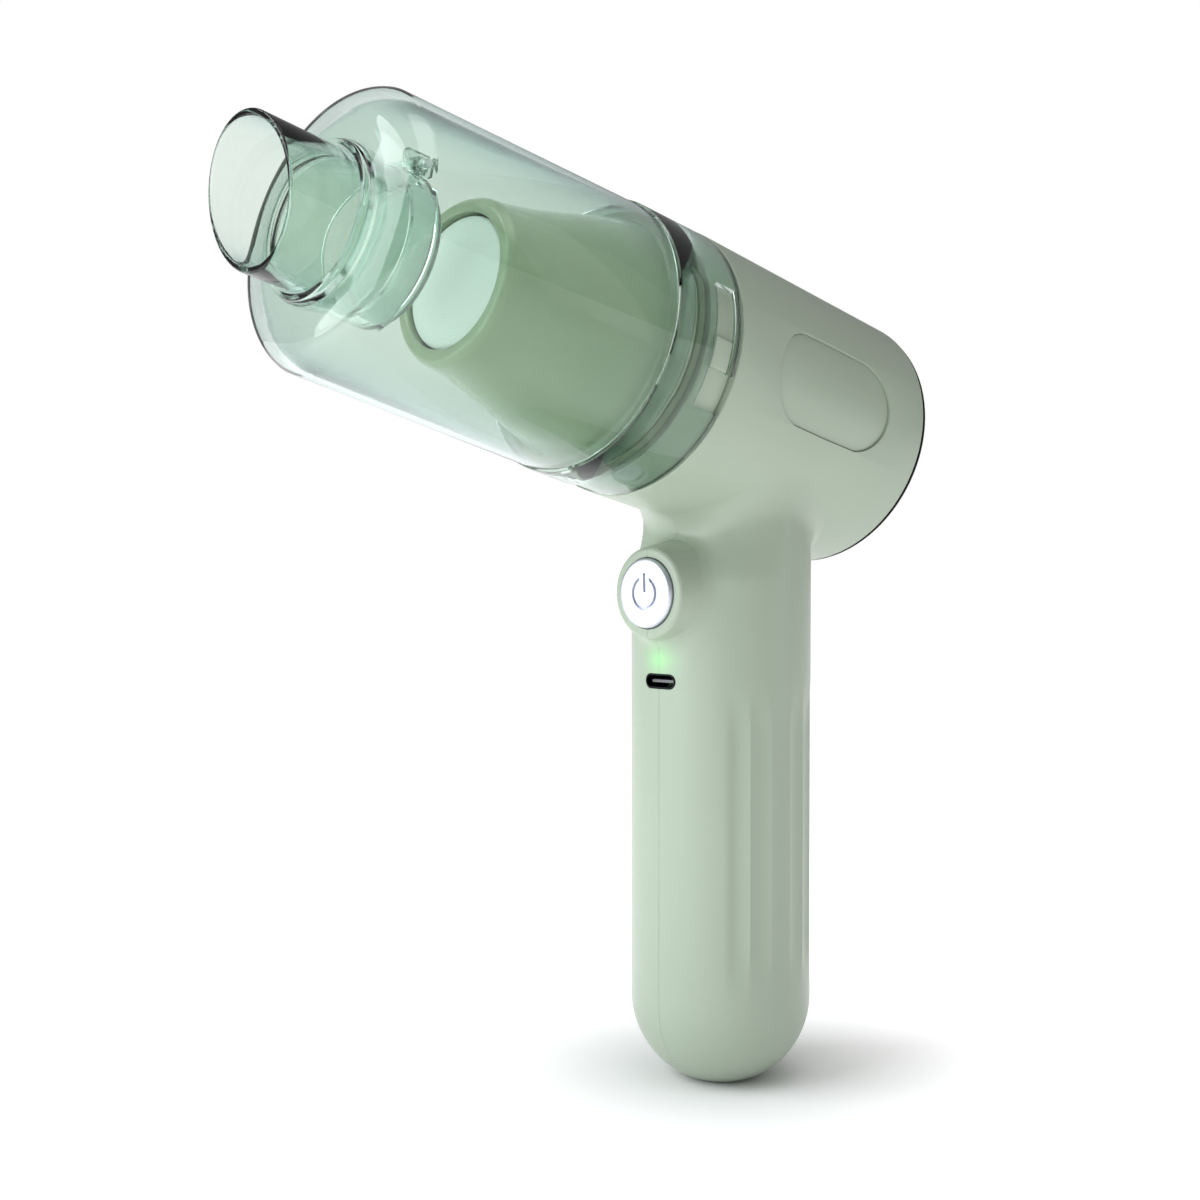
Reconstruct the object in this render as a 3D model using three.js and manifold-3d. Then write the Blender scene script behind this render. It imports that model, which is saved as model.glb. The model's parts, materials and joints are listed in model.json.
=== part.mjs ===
// A pistol-grip cordless hand vacuum: a clear dust cup with a push-in nozzle, held by a bayonet ring on
// a motor housing that is moulded in one with the handle as two shells.
// Millimetres. +Z is up and the nose points along -X. The origin is the centre of the foot's underside.
// The barrel's parts are modelled in the barrel's own frame, inside one turned group: there +Z runs along
// the barrel towards the nose, +X is its upper side, +Y is the right-hand side, and 0 is the seam where
// the bayonet ring meets the housing.
import * as THREE from "three";
import { mergeVertices } from "three/addons/utils/BufferGeometryUtils.js";
import Module from "manifold-3d";

const wasm = await Module();
wasm.setup();

// ---------------------------------------------------------------- driving sizes
const gap = 0.3; // between pieces that touch
const rad = THREE.MathUtils.degToRad;

const wall = 2; // shells
const plugGap = gap + 0.1; // round the pieces that plug into the barrel
const cellRadius = 9.2;
const cellLength = 65;
const cellDrop = 0.653; // the cells start this far below the round end's centre
const footRadius = 7.4;
const footProud = 0.6; // how far the foot pad stands out of the shells
const footSeat = 1.6; // depth of its seat in the shells

const boardRise = 2.5; // cells' top to the board's lower edge
const usbRise = 7.3; // board's lower edge to the charging socket
const bossRise = 20; // charging socket to the power button
const scoopRise = 2.2; // power button to the finger hollow
const barrelRise = 20.8; // power button to the barrel's underside at the seam
const boardDepth = 7.8; // grip's front to the board
const boardThick = 1.6;
const boardReach = 5; // how far the board runs past the button
const boardClear = 2.133; // its front corners to the shells

const barrelTilt = rad(12.2); // nose up
const barrelRadius = 30.8;
const housingLength = 66.8;
const seamX = -28.2; // the seam's centre
const filletReach = 4.5; // where the handle flows into the barrel
const scoopDepth = 5.8; // finger hollow between the button and the barrel
const scoopSpread = 1.4; // lower is wider round the grip

const bossReach = 3.8; // the boss's flat face, in front of the grip
const bossRim = 2.3; // round the button
const bossSpread = 2.4; // how much wider its root is
const buttonRadius = 7.9;
const buttonTravel = 0.8;
const buttonRest = 0.4; // what stands proud when it is pressed
const buttonFlange = 1.2;
const usbWidth = 8.94;
const usbTall = 3.26;

const cupWall = 1.8;
const cupLength = 86.2; // seam to the flat front face
const cupInset = 0.8; // the cup's rear, inside the barrel's radius
const cupTaper = 1.8; // down to where the shoulder starts
const shoulderLength = 5.5;
const shoulderDepth = 7.4;
const lipProud = 1; // the lip round the nozzle's socket
const nozzleRadius = 13.9;
const nozzleWall = 1.3;
const nozzleProud = 14.8; // the cup's face to the centre of the mouth
const mouthSlant = 16; // degrees from square to the barrel
const nozzleDepth = 11; // how deep the nozzle sits in its socket
const intakeLength = 16.2; // the cup's face to the inner end of the intake tube
const intakeWall = 1.3;
const pinRadius = 0.8;
const pinClear = 0.35;
const knuckleHalf = 4.2;
const earGap = 0.4;
const earWide = 1.6;

const ringLength = 19; // bayonet ring
const ringWall = 1.2;
const collarLength = 9.2; // the housing's collar, in front of the seam
const collarWall = 3.7;
const lugCount = 3;
const lugWidth = rad(12.6);
const lugTall = 5.2;
const slotFar = 8; // front edge of the L-shaped slots
const slotLeg = 6;
const slotEntry = rad(15.9);
const slotRun = rad(35.4);
const slotStart = rad(-12.6); // where the entry ends and the leg begins

const filterNose = 54.2;
const filterRim = 3.8; // round the mouth at its nose
const filterStep = 1.1; // from its flange in to the bell
const filterMouth = 14.2;
const filterWall = 1.5;
const pleatClear = 1.192; // the pleats' front rim to the housing's inside
const discThick = 3.4;
const discSunk = 1.1; // the disc's face, behind the nose
const spigotOverlap = 5.8; // how far the cup plugs into the ring
const spigotWall = 1;

const motorRadius = 17;
const motorLength = 32;
const motorFront = -19; // along the barrel
const canWall = 1.2;
const rotorInset = 6; // inside the can's outside
const bearingRadius = 4.6;
const shaftRadius = 1.5;
const shaftClear = 0.2;
const fanTip = 4.9; // tips to the shroud's side
const fanBack = -14;
const fanTall = 9;
const fanCap = 1.4; // the hub's closed end, in front of the shaft

const screwRadius = 1.25;
const padLength = 40;
const padTall = 21.4;
const padCentre = -33.2;
const padSunk = 0.4; // how far the side pads lie below the barrel
const padThick = 0.7;

const barrelSides = 36;
const innerSides = 24;
const fluteCount = 24; // flutes per turn, if they ran all the way round
const fluteDepth = 0.55;
const fluteReach = rad(138); // they stop this far round from the handle's rear
const fluteFade = 6;

// ---------------------------------------------------------------- worked out from them
const handleRadius = wall + gap + 2 * cellRadius + gap; // round the two cells
const cellOffset = handleRadius - wall - gap - cellRadius;
const domeCentre = Math.sqrt(handleRadius ** 2 - footRadius ** 2); // height of the round end's centre
const cellBottom = domeCentre - cellDrop;
const cellTop = cellBottom + cellLength;
const boardLow = cellTop + boardRise;
const usbHeight = boardLow + usbRise;
const bossHeight = usbHeight + bossRise; // height of the power button above the foot
const boardHigh = bossHeight + boardReach;
const boardFront = boardDepth - handleRadius;
const boardBack = boardFront + boardThick;
const boardHalf = Math.sqrt((handleRadius - wall - boardClear) ** 2 - boardFront ** 2);
const scoopStart = bossHeight + scoopRise;
const seamZ = bossHeight + barrelRise + barrelRadius;
const fluteLow = cellBottom + 5;
const fluteHigh = usbHeight - 0.8;
const bossFace = handleRadius + bossReach;
const bossRadius = buttonRadius + bossRim;
const bossBaseRadius = bossRadius + bossSpread;
const buttonProud = buttonTravel + buttonRest;

const shellInner = barrelRadius - wall;
const plugRadius = shellInner - plugGap;
const ringInner = barrelRadius - ringWall - 0.1;
const collarRadius = ringInner - 0.4;
const collarBore = collarRadius - collarWall;
const spigotRadius = ringInner - gap;
const spigotInner = spigotRadius - spigotWall;
const flangeRadius = spigotInner - gap;
const spigotBack = ringLength + gap - spigotOverlap;
const cupBackRadius = barrelRadius - cupInset;
const cupFrontRadius = cupBackRadius - cupTaper; // where the shoulder starts
const faceRadius = cupFrontRadius - shoulderDepth;
const socketRadius = nozzleRadius + gap;
const intakeRadius = socketRadius + intakeWall;
const intakeEnd = cupLength - intakeLength;
const nozzleReach = cupLength + nozzleProud;
const sealFront = collarLength + gap + 1.8;
const flangeBack = sealFront + gap;
const filterBaseRadius = flangeRadius - filterStep;
const filterNoseRadius = filterMouth + filterRim;
const lugStart = slotStart + rad(0.6);
const motorBack = motorFront - motorLength;
const rotorRadius = motorRadius - rotorInset;
const fanRadius = plugRadius - wall - fanTip;
const shroudFront = fanBack + fanTall + 2.6;

// ---------------------------------------------------------------- materials
const look = (color, roughness, metalness = 0, opacity = 1) =>
  new THREE.MeshStandardMaterial({ color, roughness, metalness, opacity, transparent: opacity < 1 });
const sage = look(0xb4c4ae, 0.42);
const clear = look(0xa9c9bb, 0.08, 0, 0.4);
const filterGreen = look(0x8fb08c, 0.3);
const white = look(0xf2f3f6, 0.35);
const felt = look(0xe6ebe8, 0.95);
const silicone = look(0xcfe0d6, 0.5, 0, 0.8);
const rubber = look(0x23282a, 0.85);
const sealGreen = look(0x4c5f4c, 0.8);
const steel = look(0xb8bcc0, 0.3, 1);
const copper = look(0xb56a3c, 0.35, 1);
const magnet = look(0x3b3d42, 0.5, 0.6);
const black = look(0x17181a, 0.5);
const boardGreen = look(0x1f5a38, 0.5);
const cellBlue = look(0x3c6fae, 0.4);
const ledGreen = look(0x7dff9a, 0.3);
const red = look(0xb6252a, 0.5);

// ---------------------------------------------------------------- helpers
// A closed geometry as a manifold solid that faces outwards.
function solid(geometry) {
  const bare = new THREE.BufferGeometry().setAttribute("position", geometry.getAttribute("position"));
  if (geometry.index) bare.setIndex(geometry.index);
  const merged = mergeVertices(bare, 1e-4);
  const vertProperties = merged.attributes.position.array;
  const triVerts = new Uint32Array(merged.index.array);
  const make = () =>
    new wasm.Manifold(new wasm.Mesh({ numProp: 3, vertProperties, triVerts }));
  const made = make();
  if (made.volume() > 0) return made;
  for (let i = 0; i < triVerts.length; i += 3) {
    [triVerts[i + 1], triVerts[i + 2]] = [triVerts[i + 2], triVerts[i + 1]];
  }
  return make();
}

function geometryOf(made) {
  const mesh = made.getMesh();
  const places = new Float32Array(mesh.numVert * 3);
  for (let i = 0; i < mesh.numVert; i++) {
    places.set(mesh.vertProperties.subarray(i * mesh.numProp, i * mesh.numProp + 3), i * 3);
  }
  const geometry = new THREE.BufferGeometry()
    .setAttribute("position", new THREE.BufferAttribute(places, 3))
    .setIndex(new THREE.BufferAttribute(mesh.triVerts, 1));
  geometry.computeVertexNormals();
  return geometry;
}

// A solid moved by a matrix, shifted by millimetres, or turned by degrees about X, then Y, then Z.
const moved = (made, matrix) => solid(geometryOf(made).applyMatrix4(matrix));
const shifted = (made, x, y, z) => moved(made, new THREE.Matrix4().makeTranslation(x, y, z));
const spun = (made, x, y, z) =>
  moved(made, new THREE.Matrix4().makeRotationFromEuler(new THREE.Euler(rad(x), rad(y), rad(z), "ZYX")));

const joined = (...solids) => solids.reduce((a, b) => a.add(b));
const cut = (body, ...tools) => tools.reduce((a, b) => a.subtract(b), body);

// A profile of [radius, height] points, turned about +Z.
function turned(profile, sides = barrelSides) {
  const points = profile.map(([r, h]) => new THREE.Vector2(r, h));
  const ends = [profile[0], profile.at(-1)];
  if (!ends.every(([r]) => r === 0)) points.push(points[0].clone());
  return solid(new THREE.LatheGeometry(points, sides).rotateX(Math.PI / 2));
}

const tube = (outer, inner, low, high, sides) =>
  turned([[inner, low], [outer, low], [outer, high], [inner, high]], sides);
const rod = (radius, low, high, sides = innerSides) =>
  turned([[0, low], [radius, low], [radius, high], [0, high]], sides);
const block = (x0, x1, y0, y1, z0, z1) =>
  shifted(solid(new THREE.BoxGeometry(x1 - x0, y1 - y0, z1 - z0)), (x0 + x1) / 2, (y0 + y1) / 2, (z0 + z1) / 2);

// A tool for a wall: from one angle to another round +Z and from low to high. Angle 0 faces -Y, which is
// the barrel's left-hand side, and angles grow towards its upper side.
function sector(inner, outer, from, to, low, high) {
  const at = (r, a) => new THREE.Vector2(r * Math.sin(a), -r * Math.cos(a));
  const steps = Math.max(1, Math.round((to - from) / rad(20)));
  const angles = Array.from({ length: steps + 1 }, (_, i) => from + ((to - from) * i) / steps);
  const outline = [...angles.map((a) => at(outer, a)), ...angles.reverse().map((a) => at(inner, a))];
  const shape = new THREE.Shape(outline);
  const geometry = new THREE.ExtrudeGeometry(shape, { depth: high - low, bevelEnabled: false });
  return solid(geometry.translate(0, 0, low));
}

// An outline with round ends, length by height, extruded along +Z.
function stadium(length, tall, depth) {
  const half = length / 2 - tall / 2;
  const shape = new THREE.Shape();
  shape.absarc(half, 0, tall / 2, -Math.PI / 2, Math.PI / 2);
  shape.absarc(-half, 0, tall / 2, Math.PI / 2, (3 * Math.PI) / 2);
  return new THREE.ExtrudeGeometry(shape, { depth, bevelEnabled: false, curveSegments: 8 });
}

// Turns a solid made about +Z to lie along an axis, and moves it.
function along(made, axis, x, y, z) {
  const turns = { x: [0, 90, 0], y: [-90, 0, 0] }[axis];
  return shifted(spun(made, ...turns), x, y, z);
}

// From a solid made about +Z, with +Y as its upper side, to one about +X at the button's height.
const upright = (made) => shifted(spun(made, 90, 0, 90), 0, 0, bossHeight);

// An outline made flat, with its depth turned to run along +X from x, at height z.
const lying = (geometry, x, z) => shifted(spun(solid(geometry), 90, 0, 90), x, 0, z);

const smooth = (from, to, value) => THREE.MathUtils.smoothstep(value, from, to);

// ---------------------------------------------------------------- scene graph
const vacuum = new THREE.Group();
const barrel = new THREE.Group();
barrel.position.set(seamX, 0, seamZ);
barrel.rotation.y = barrelTilt - Math.PI / 2;
vacuum.add(barrel);

function piece(parent, name, made, material) {
  const mesh = new THREE.Mesh(geometryOf(made), material);
  mesh.name = name;
  parent.add(mesh);
}

// A solid in the barrel's frame, as it stands in the object's frame.
barrel.updateMatrix();
const fromBarrel = (made) => moved(made, barrel.matrix);
// A point in the barrel's frame, as it stands in the object's frame.
const pointFromBarrel = (x, y, z) => new THREE.Vector3(x, y, z).applyMatrix4(barrel.matrix);

// ---------------------------------------------------------------- shells
// Height of the barrel's underside over the point x, y.
function underside(x, y) {
  const drop = Math.sqrt(Math.max(barrelRadius ** 2 - y ** 2, 0));
  return seamZ - (drop + (x - seamX) * Math.sin(barrelTilt)) / Math.cos(barrelTilt);
}

// The grip's skin, with a round lower end. Its outer skin flares at the top until it is tangent to the
// barrel. Its inner skin, inset by a wall, runs straight up into the barrel.
function gripSkin(inset) {
  const bottom = inset ? wall + footProud : footProud;
  const ball = handleRadius - inset;
  const dome = 5;
  const rise = 3;
  const flare = 4;
  const low = Math.asin((domeCentre - bottom) / ball);
  const rows = [];
  for (let i = 0; i <= dome; i++) {
    const a = -low * (1 - i / dome);
    rows.push((angle) => [ball * Math.cos(a), domeCentre + ball * Math.sin(a)]);
  }
  const neck = (angle) => handleRadius - scoopDepth * Math.max(0, -Math.cos(angle)) ** scoopSpread;
  const end = (angle) => {
    const far = neck(angle) + filletReach;
    const z = underside(far * Math.cos(angle), far * Math.sin(angle));
    const near = far - 0.01;
    const slope = (z - underside(near * Math.cos(angle), near * Math.sin(angle))) / 0.01;
    return { far, z, corner: z - slope * filletReach };
  };
  const start = (angle) => end(angle).corner - filletReach;
  const flute = (angle) => {
    const back = Math.abs(Math.atan2(Math.sin(angle), Math.cos(angle)));
    const valley = (1 - Math.cos(fluteCount * angle)) / 2;
    return inset ? 0 : fluteDepth * valley * (1 - smooth(fluteReach - rad(8), fluteReach, back));
  };
  if (!inset) {
    rows.push(() => [ball, fluteLow]);
    rows.push((angle) => [ball - flute(angle), fluteLow + fluteFade]);
    rows.push((angle) => [ball - flute(angle), fluteHigh - fluteFade]);
    rows.push(() => [ball, fluteHigh]);
  }
  for (let i = 0; i <= rise; i++) {
    rows.push((angle) => {
      const z = scoopStart + ((start(angle) - scoopStart) * i) / rise;
      return [THREE.MathUtils.lerp(handleRadius, neck(angle), smooth(0, 1, i / rise)) - inset, z];
    });
  }
  if (inset) rows.push((angle) => [neck(angle) - inset, seamZ - barrelRadius / 3]);
  for (let i = 1; i <= flare && !inset; i++) {
    rows.push((angle) => {
      const { far, z, corner } = end(angle);
      const k = i / flare;
      const r = neck(angle) + (far - neck(angle)) * k * k;
      const bend = (1 - k) ** 2 * start(angle) + 2 * k * (1 - k) * corner + k * k * z;
      return [r, i === flare ? bend + 0.4 : bend];
    });
  }
  const handleSides = inset ? innerSides : 2 * fluteCount;
  const places = [0, 0, bottom];
  for (const row of rows) {
    for (let j = 0; j < handleSides; j++) {
      const angle = (j / handleSides) * 2 * Math.PI;
      const [r, z] = row(angle);
      places.push(r * Math.cos(angle), r * Math.sin(angle), z);
    }
  }
  places.push(0, 0, seamZ - barrelRadius / 2);
  const top = places.length / 3 - 1;
  const faces = [];
  for (let j = 0; j < handleSides; j++) {
    const next = (j + 1) % handleSides;
    faces.push(0, 1 + next, 1 + j);
    for (let i = 0; i + 1 < rows.length; i++) {
      const a = 1 + i * handleSides;
      const b = a + handleSides;
      faces.push(a + j, a + next, b + next, a + j, b + next, b + j);
    }
    const last = 1 + (rows.length - 1) * handleSides;
    faces.push(top, last + j, last + next);
  }
  const geometry = new THREE.BufferGeometry()
    .setAttribute("position", new THREE.BufferAttribute(new Float32Array(places), 3))
    .setIndex(faces);
  return solid(geometry);
}

// Screw posts, between the two shells: [x, z] in the object's frame.
const topPost = pointFromBarrel(shellInner - 5.4, 0, 10.8 - housingLength);
const posts = [
  [9, boardLow + 4.5],
  [9, bossHeight + 7.2],
  [topPost.x, topPost.z],
];
const postRadius = 3;
const headRadius = 2.7;
const headSeat = 5; // how far from the joint the screw's head sits
const screwTip = -9;
const screwClear = 0.25;

// The pad's outline, cut out of a tube between two radii, on one side (-1 left, 1 right).
function padShape(side, proud, inner, outer) {
  const flat = stadium(padLength + 2 * proud, padTall + 2 * proud, barrelRadius + 5);
  const placed = shifted(spun(solid(flat.rotateX(-Math.PI / 2)), 0, 90, side > 0 ? 0 : 180), 0, 0, padCentre);
  return placed.intersect(tube(outer, inner, padCentre - padLength, padCentre + padLength));
}

function shells() {
  const root = 7 - handleRadius; // inside the grip's front
  const profile = [
    [0, root],
    [bossBaseRadius, root],
    [bossRadius, -bossFace + 0.9],
    [bossRadius - 0.9, -bossFace],
    [0, -bossFace],
  ];
  const boss = upright(turned(profile));
  const outer = joined(gripSkin(0), boss, fromBarrel(rod(barrelRadius, -housingLength, 0, barrelSides)));
  const inner = joined(gripSkin(wall), fromBarrel(rod(shellInner, -housingLength - 1, 1, barrelSides)));
  const hollow = cut(
    outer,
    inner,
    fromBarrel(padShape(-1, gap, barrelRadius - padSunk - padThick - gap, barrelRadius + 2)),
    fromBarrel(padShape(1, gap, barrelRadius - padSunk - padThick - gap, barrelRadius + 2)),
    rod(footRadius + gap, -1, footProud + footSeat, 32), // seat of the foot pad
    along(rod(buttonRadius + gap, 0, 12, 40), "x", -bossFace - 2, 0, bossHeight),
    along(rod(buttonRadius + buttonFlange + 0.5, 0, 6, 32), "x", -bossFace + wall, 0, bossHeight),
    lying(stadium(usbWidth + 0.5, usbTall + 0.4, wall + 4), -handleRadius - 3, usbHeight),
  );
  const postRods = posts.map(([x, z]) => along(rod(postRadius, -barrelRadius, barrelRadius, 12), "y", x, 0, z));
  const bored = posts.flatMap(([x, z]) => [
    along(rod(screwRadius + screwClear, screwTip - 1, barrelRadius + 5, 12), "y", x, 0, z),
    along(rod(headRadius + gap, headSeat, barrelRadius + 5, 16), "y", x, 0, z),
  ]);
  const whole = cut(joined(hollow, joined(...postRods).intersect(outer)), ...bored);
  const far = 400;
  piece(vacuum, "left_shell", whole.intersect(block(-far, far, -far, -gap / 2, -far, far)), sage);
  piece(vacuum, "right_shell", whole.intersect(block(-far, far, gap / 2, far, -far, far)), sage);
  posts.forEach(([x, z], i) => {
    const screw = turned([
      [0, screwTip],
      [screwRadius, screwTip],
      [screwRadius, headSeat + gap],
      [headRadius, headSeat + gap],
      [headRadius, headSeat + gap + 1.4],
      [headRadius - 0.6, headSeat + gap + 1.9],
      [0, headSeat + gap + 1.9],
    ], 12);
    piece(vacuum, `shell_screw_${i + 1}`, along(screw, "y", x, 0, z), steel);
  });
}

function pads() {
  const inner = barrelRadius - padSunk - padThick;
  piece(barrel, "left_side_pad", padShape(-1, 0, inner, barrelRadius - padSunk), sage);
  piece(barrel, "right_side_pad", padShape(1, 0, inner, barrelRadius - padSunk), sage);
}

function footPad() {
  piece(vacuum, "foot_pad", rod(footRadius, 0, footProud + footSeat - gap, 32), rubber);
}

function rearCap() {
  const plateBack = -housingLength - gap - 1;
  const plateFront = plateBack + 2.2;
  const plate = turned([
    [0, plateFront],
    [plugRadius - wall, plateFront],
    [plugRadius - wall, -housingLength + 4.3],
    [plugRadius, -housingLength + 4.3],
    [plugRadius, -housingLength - gap],
    [barrelRadius - gap, -housingLength - gap],
    [barrelRadius - gap, plateBack + 0.4],
    [barrelRadius - gap - 0.6, plateBack],
    [0, plateBack],
  ]);
  const slots = 18;
  const ventReach = plugRadius - wall - 1.9;
  const vents = Array.from({ length: slots }, (_, i) =>
    spun(block(11, ventReach, -0.9, 0.9, plateBack - 1, plateFront + 1), 0, 0, (i * 360) / slots));
  piece(barrel, "rear_cap", cut(plate, ...vents), sage);
}

// ---------------------------------------------------------------- power button and electronics
const switchFront = boardFront - gap - 3.4;
const stemEnd = switchFront - 1.6;
const plungerTip = switchFront + 1.1;
const wellEnd = plungerTip + buttonTravel + 0.6;
const plungerRadius = 1.6;

function powerButton() {
  const front = -bossFace - buttonProud;
  const flangeFront = -bossFace + wall + gap;
  const cap = turned([
    [0, stemEnd],
    [2, stemEnd],
    [2, flangeFront + 1.2],
    [buttonRadius + buttonFlange, flangeFront + 1.2],
    [buttonRadius + buttonFlange, flangeFront],
    [buttonRadius, flangeFront],
    [buttonRadius, front + 0.7],
    [buttonRadius - 0.7, front],
    [0, front],
  ], 36);
  const groove = 0.35; // the power mark is pressed into the face
  const ring = tube(3.8, 3.1, front - 1, front + groove, 24);
  const opening = block(-1.5, 1.5, 0, 5, front - 2, front + 1);
  const bar = block(-0.35, 0.35, 0, 4.6, front - 1, front + groove);
  const mark = joined(cut(ring, opening), bar);
  piece(vacuum, "power_button", upright(cut(cap, mark)), white);
  const plunger = rod(plungerRadius, stemEnd + gap, plungerTip, 12);
  piece(vacuum, "switch_plunger", upright(plunger), black);
}

function electronics() {
  piece(vacuum, "control_board", block(boardFront, boardBack, -boardHalf, boardHalf, boardLow, boardHigh), boardGreen);
  const body = upright(block(-3.1, 3.1, -3.1, 3.1, switchFront, boardFront - gap));
  const well = upright(rod(plungerRadius + 0.4, switchFront - 1, wellEnd, 12));
  piece(vacuum, "power_switch", cut(body, well), black);
  const ledLow = usbHeight + 4.4;
  piece(vacuum, "status_led", block(boardFront - 2, boardFront - gap, -1, 1, ledLow, ledLow + 2), ledGreen);
  const front = -handleRadius + gap;
  const can = lying(stadium(usbWidth, usbTall, boardFront - gap - front), front, usbHeight);
  const mouth = lying(stadium(usbWidth - 0.6, usbTall - 0.6, 6.2), front - 0.5, usbHeight);
  const tongue = block(front + 0.9, boardFront - 1, -3.3, 3.3, usbHeight - 0.35, usbHeight + 0.35);
  piece(vacuum, "usb_port", joined(cut(can, mouth), tongue), steel);
}

function battery() {
  const cell = turned([
    [0, cellBottom],
    [cellRadius - 0.5, cellBottom],
    [cellRadius, cellBottom + 0.5],
    [cellRadius, cellTop - 1.2],
    [cellRadius - 1, cellTop - 0.6],
    [3.2, cellTop - 0.6],
    [3.2, cellTop],
    [0, cellTop],
  ], 24);
  piece(vacuum, "battery_cell_front", shifted(cell, -cellOffset, 0, 0), cellBlue);
  piece(vacuum, "battery_cell_rear", shifted(cell, cellOffset, 0, 0), cellBlue);
  const ball = handleRadius - wall - plugGap;
  const low = cellBottom - 9.5;
  const dish = (z) => Math.sqrt(ball ** 2 - (domeCentre - z) ** 2);
  const pad = turned([
    [0, low],
    [dish(low), low],
    [dish(cellBottom - 5), cellBottom - 5],
    [dish(cellBottom - gap), cellBottom - gap],
    [0, cellBottom - gap],
  ], 24);
  piece(vacuum, "battery_pad", pad, felt);
}

// A lead through the points given, as an extruded six-sided section.
function lead(name, points, material, radius = 0.8, steps = 14) {
  const route = new THREE.CatmullRomCurve3(points);
  const section = Array.from({ length: 6 }, (_, i) => {
    const a = (i / 6) * 2 * Math.PI;
    return new THREE.Vector2(radius * Math.cos(a), radius * Math.sin(a));
  });
  const geometry = new THREE.ExtrudeGeometry(new THREE.Shape(section), { steps, extrudePath: route });
  piece(vacuum, name, solid(geometry), material);
}

function leads() {
  const top = cellTop + 1.2;
  const at = (x, y, z) => new THREE.Vector3(x, y, z);
  const behind = boardBack + 1.2;
  const bend = boardBack + 5.6;
  const joint = boardLow + 9.5;
  lead("battery_lead_red",
    [at(4 - cellOffset, 2, top), at(-3, 3, top + 4.8), at(bend, 4, joint - 2), at(behind, 4, joint)], red);
  lead("battery_lead_black",
    [at(cellOffset, -2, top), at(5, -5, top + 3.8), at(-3, -5, joint - 3), at(behind, -4, joint)], black);
  for (const [colour, material, side] of [["red", red, 1], ["black", black, -1]]) {
    const y = 5 * side;
    const under = (s) => pointFromBarrel(6.3 - shellInner, y, s);
    const back = pointFromBarrel(-motorRadius, y, motorBack - 7);
    const end = pointFromBarrel(-9, y, motorBack - 5);
    const rising = [at(behind, y, boardHigh - 4.5), at(bend, y, boardHigh + 2.5), at(2, y, boardHigh + 11.5)];
    lead(`motor_lead_${colour}`, [...rising, under(motorBack + 9), under(motorBack - 1), back, end], material);
  }
}

// ---------------------------------------------------------------- motor and fan
function motor() {
  const back = motorBack;
  const can = cut(
    rod(motorRadius, back, motorFront),
    rod(motorRadius - canWall, back - 1, motorFront - canWall),
    rod(bearingRadius + gap, back - 1, motorFront + 1, 20),
  );
  piece(barrel, "motor_can", can, steel);
  const inside = motorRadius - canWall - gap;
  piece(barrel, "motor_magnets", tube(inside, rotorRadius + 1, back + 7, motorFront - 4, innerSides), magnet);
  const endCap = cut(
    joined(rod(inside, back - gap - 0.5, back + 5), rod(motorRadius, back - 2.4, back - gap)),
    rod(bearingRadius + gap, back + 1.6, back + 6, 20),
    rod(shaftRadius + 2 * shaftClear, back - 3, back + 6, 16),
  );
  piece(barrel, "motor_end_cap", endCap, black);
  const bearing = (low) => tube(bearingRadius, shaftRadius + shaftClear, low, low + 3, 20);
  piece(barrel, "rear_bearing", bearing(back + 1.9), steel);
  piece(barrel, "front_bearing", bearing(motorFront - 2.4), steel);
  piece(barrel, "motor_shaft", rod(shaftRadius, back + 1.6, fanBack + fanTall - fanCap - gap, 16), steel);
  const bore = rod(shaftRadius + shaftClear, back, motorFront, 16);
  const core = cut(rod(rotorRadius, back + 9, motorFront - 5), bore);
  const gaps = Array.from({ length: 5 }, (_, i) =>
    spun(block(rotorRadius - 4.5, rotorRadius + 1, -0.7, 0.7, back, motorFront), 0, 0, i * 72));
  piece(barrel, "rotor_core", cut(core, ...gaps), copper);
  const seat = tube(plugRadius, motorRadius + gap, motorFront - 6, motorFront - 2, innerSides);
  const windowReach = plugRadius - 2.2;
  const windows = Array.from({ length: 6 }, (_, i) =>
    sector(motorRadius + 2.5, windowReach, rad(i * 60 + 8), rad(i * 60 + 52), motorFront - 8, motorFront));
  piece(barrel, "motor_mount", cut(seat, ...windows), rubber);
}

function fan() {
  const disc = rod(fanRadius, fanBack, fanBack + 1.4);
  const hub = turned([[0, fanBack], [6, fanBack], [3.4, fanBack + fanTall], [0, fanBack + fanTall]], 20);
  const blades = Array.from({ length: 9 }, (_, i) =>
    spun(block(4, fanRadius - 1, 2.5, 3.5, fanBack + 1, fanBack + fanTall - 1), 0, 0, i * 40));
  const bore = rod(shaftRadius + shaftClear, fanBack - 1, fanBack + fanTall - fanCap, 16);
  const wheel = cut(joined(disc, hub, ...blades), bore);
  piece(barrel, "fan_impeller", wheel, black);
  const shroudBack = fanBack + fanTall + 1;
  const shroud = turned([
    [11, shroudBack],
    [plugRadius - wall, shroudBack],
    [plugRadius - wall, fanBack],
    [plugRadius, fanBack],
    [plugRadius, shroudFront],
    [12.4, shroudFront],
    [11, shroudBack + 1],
  ], innerSides);
  piece(barrel, "fan_shroud", shroud, black);
}

// ---------------------------------------------------------------- bayonet, filter and dust cup
const around = (make) => Array.from({ length: lugCount }, (_, i) => make((i * 2 * Math.PI) / lugCount));

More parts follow.
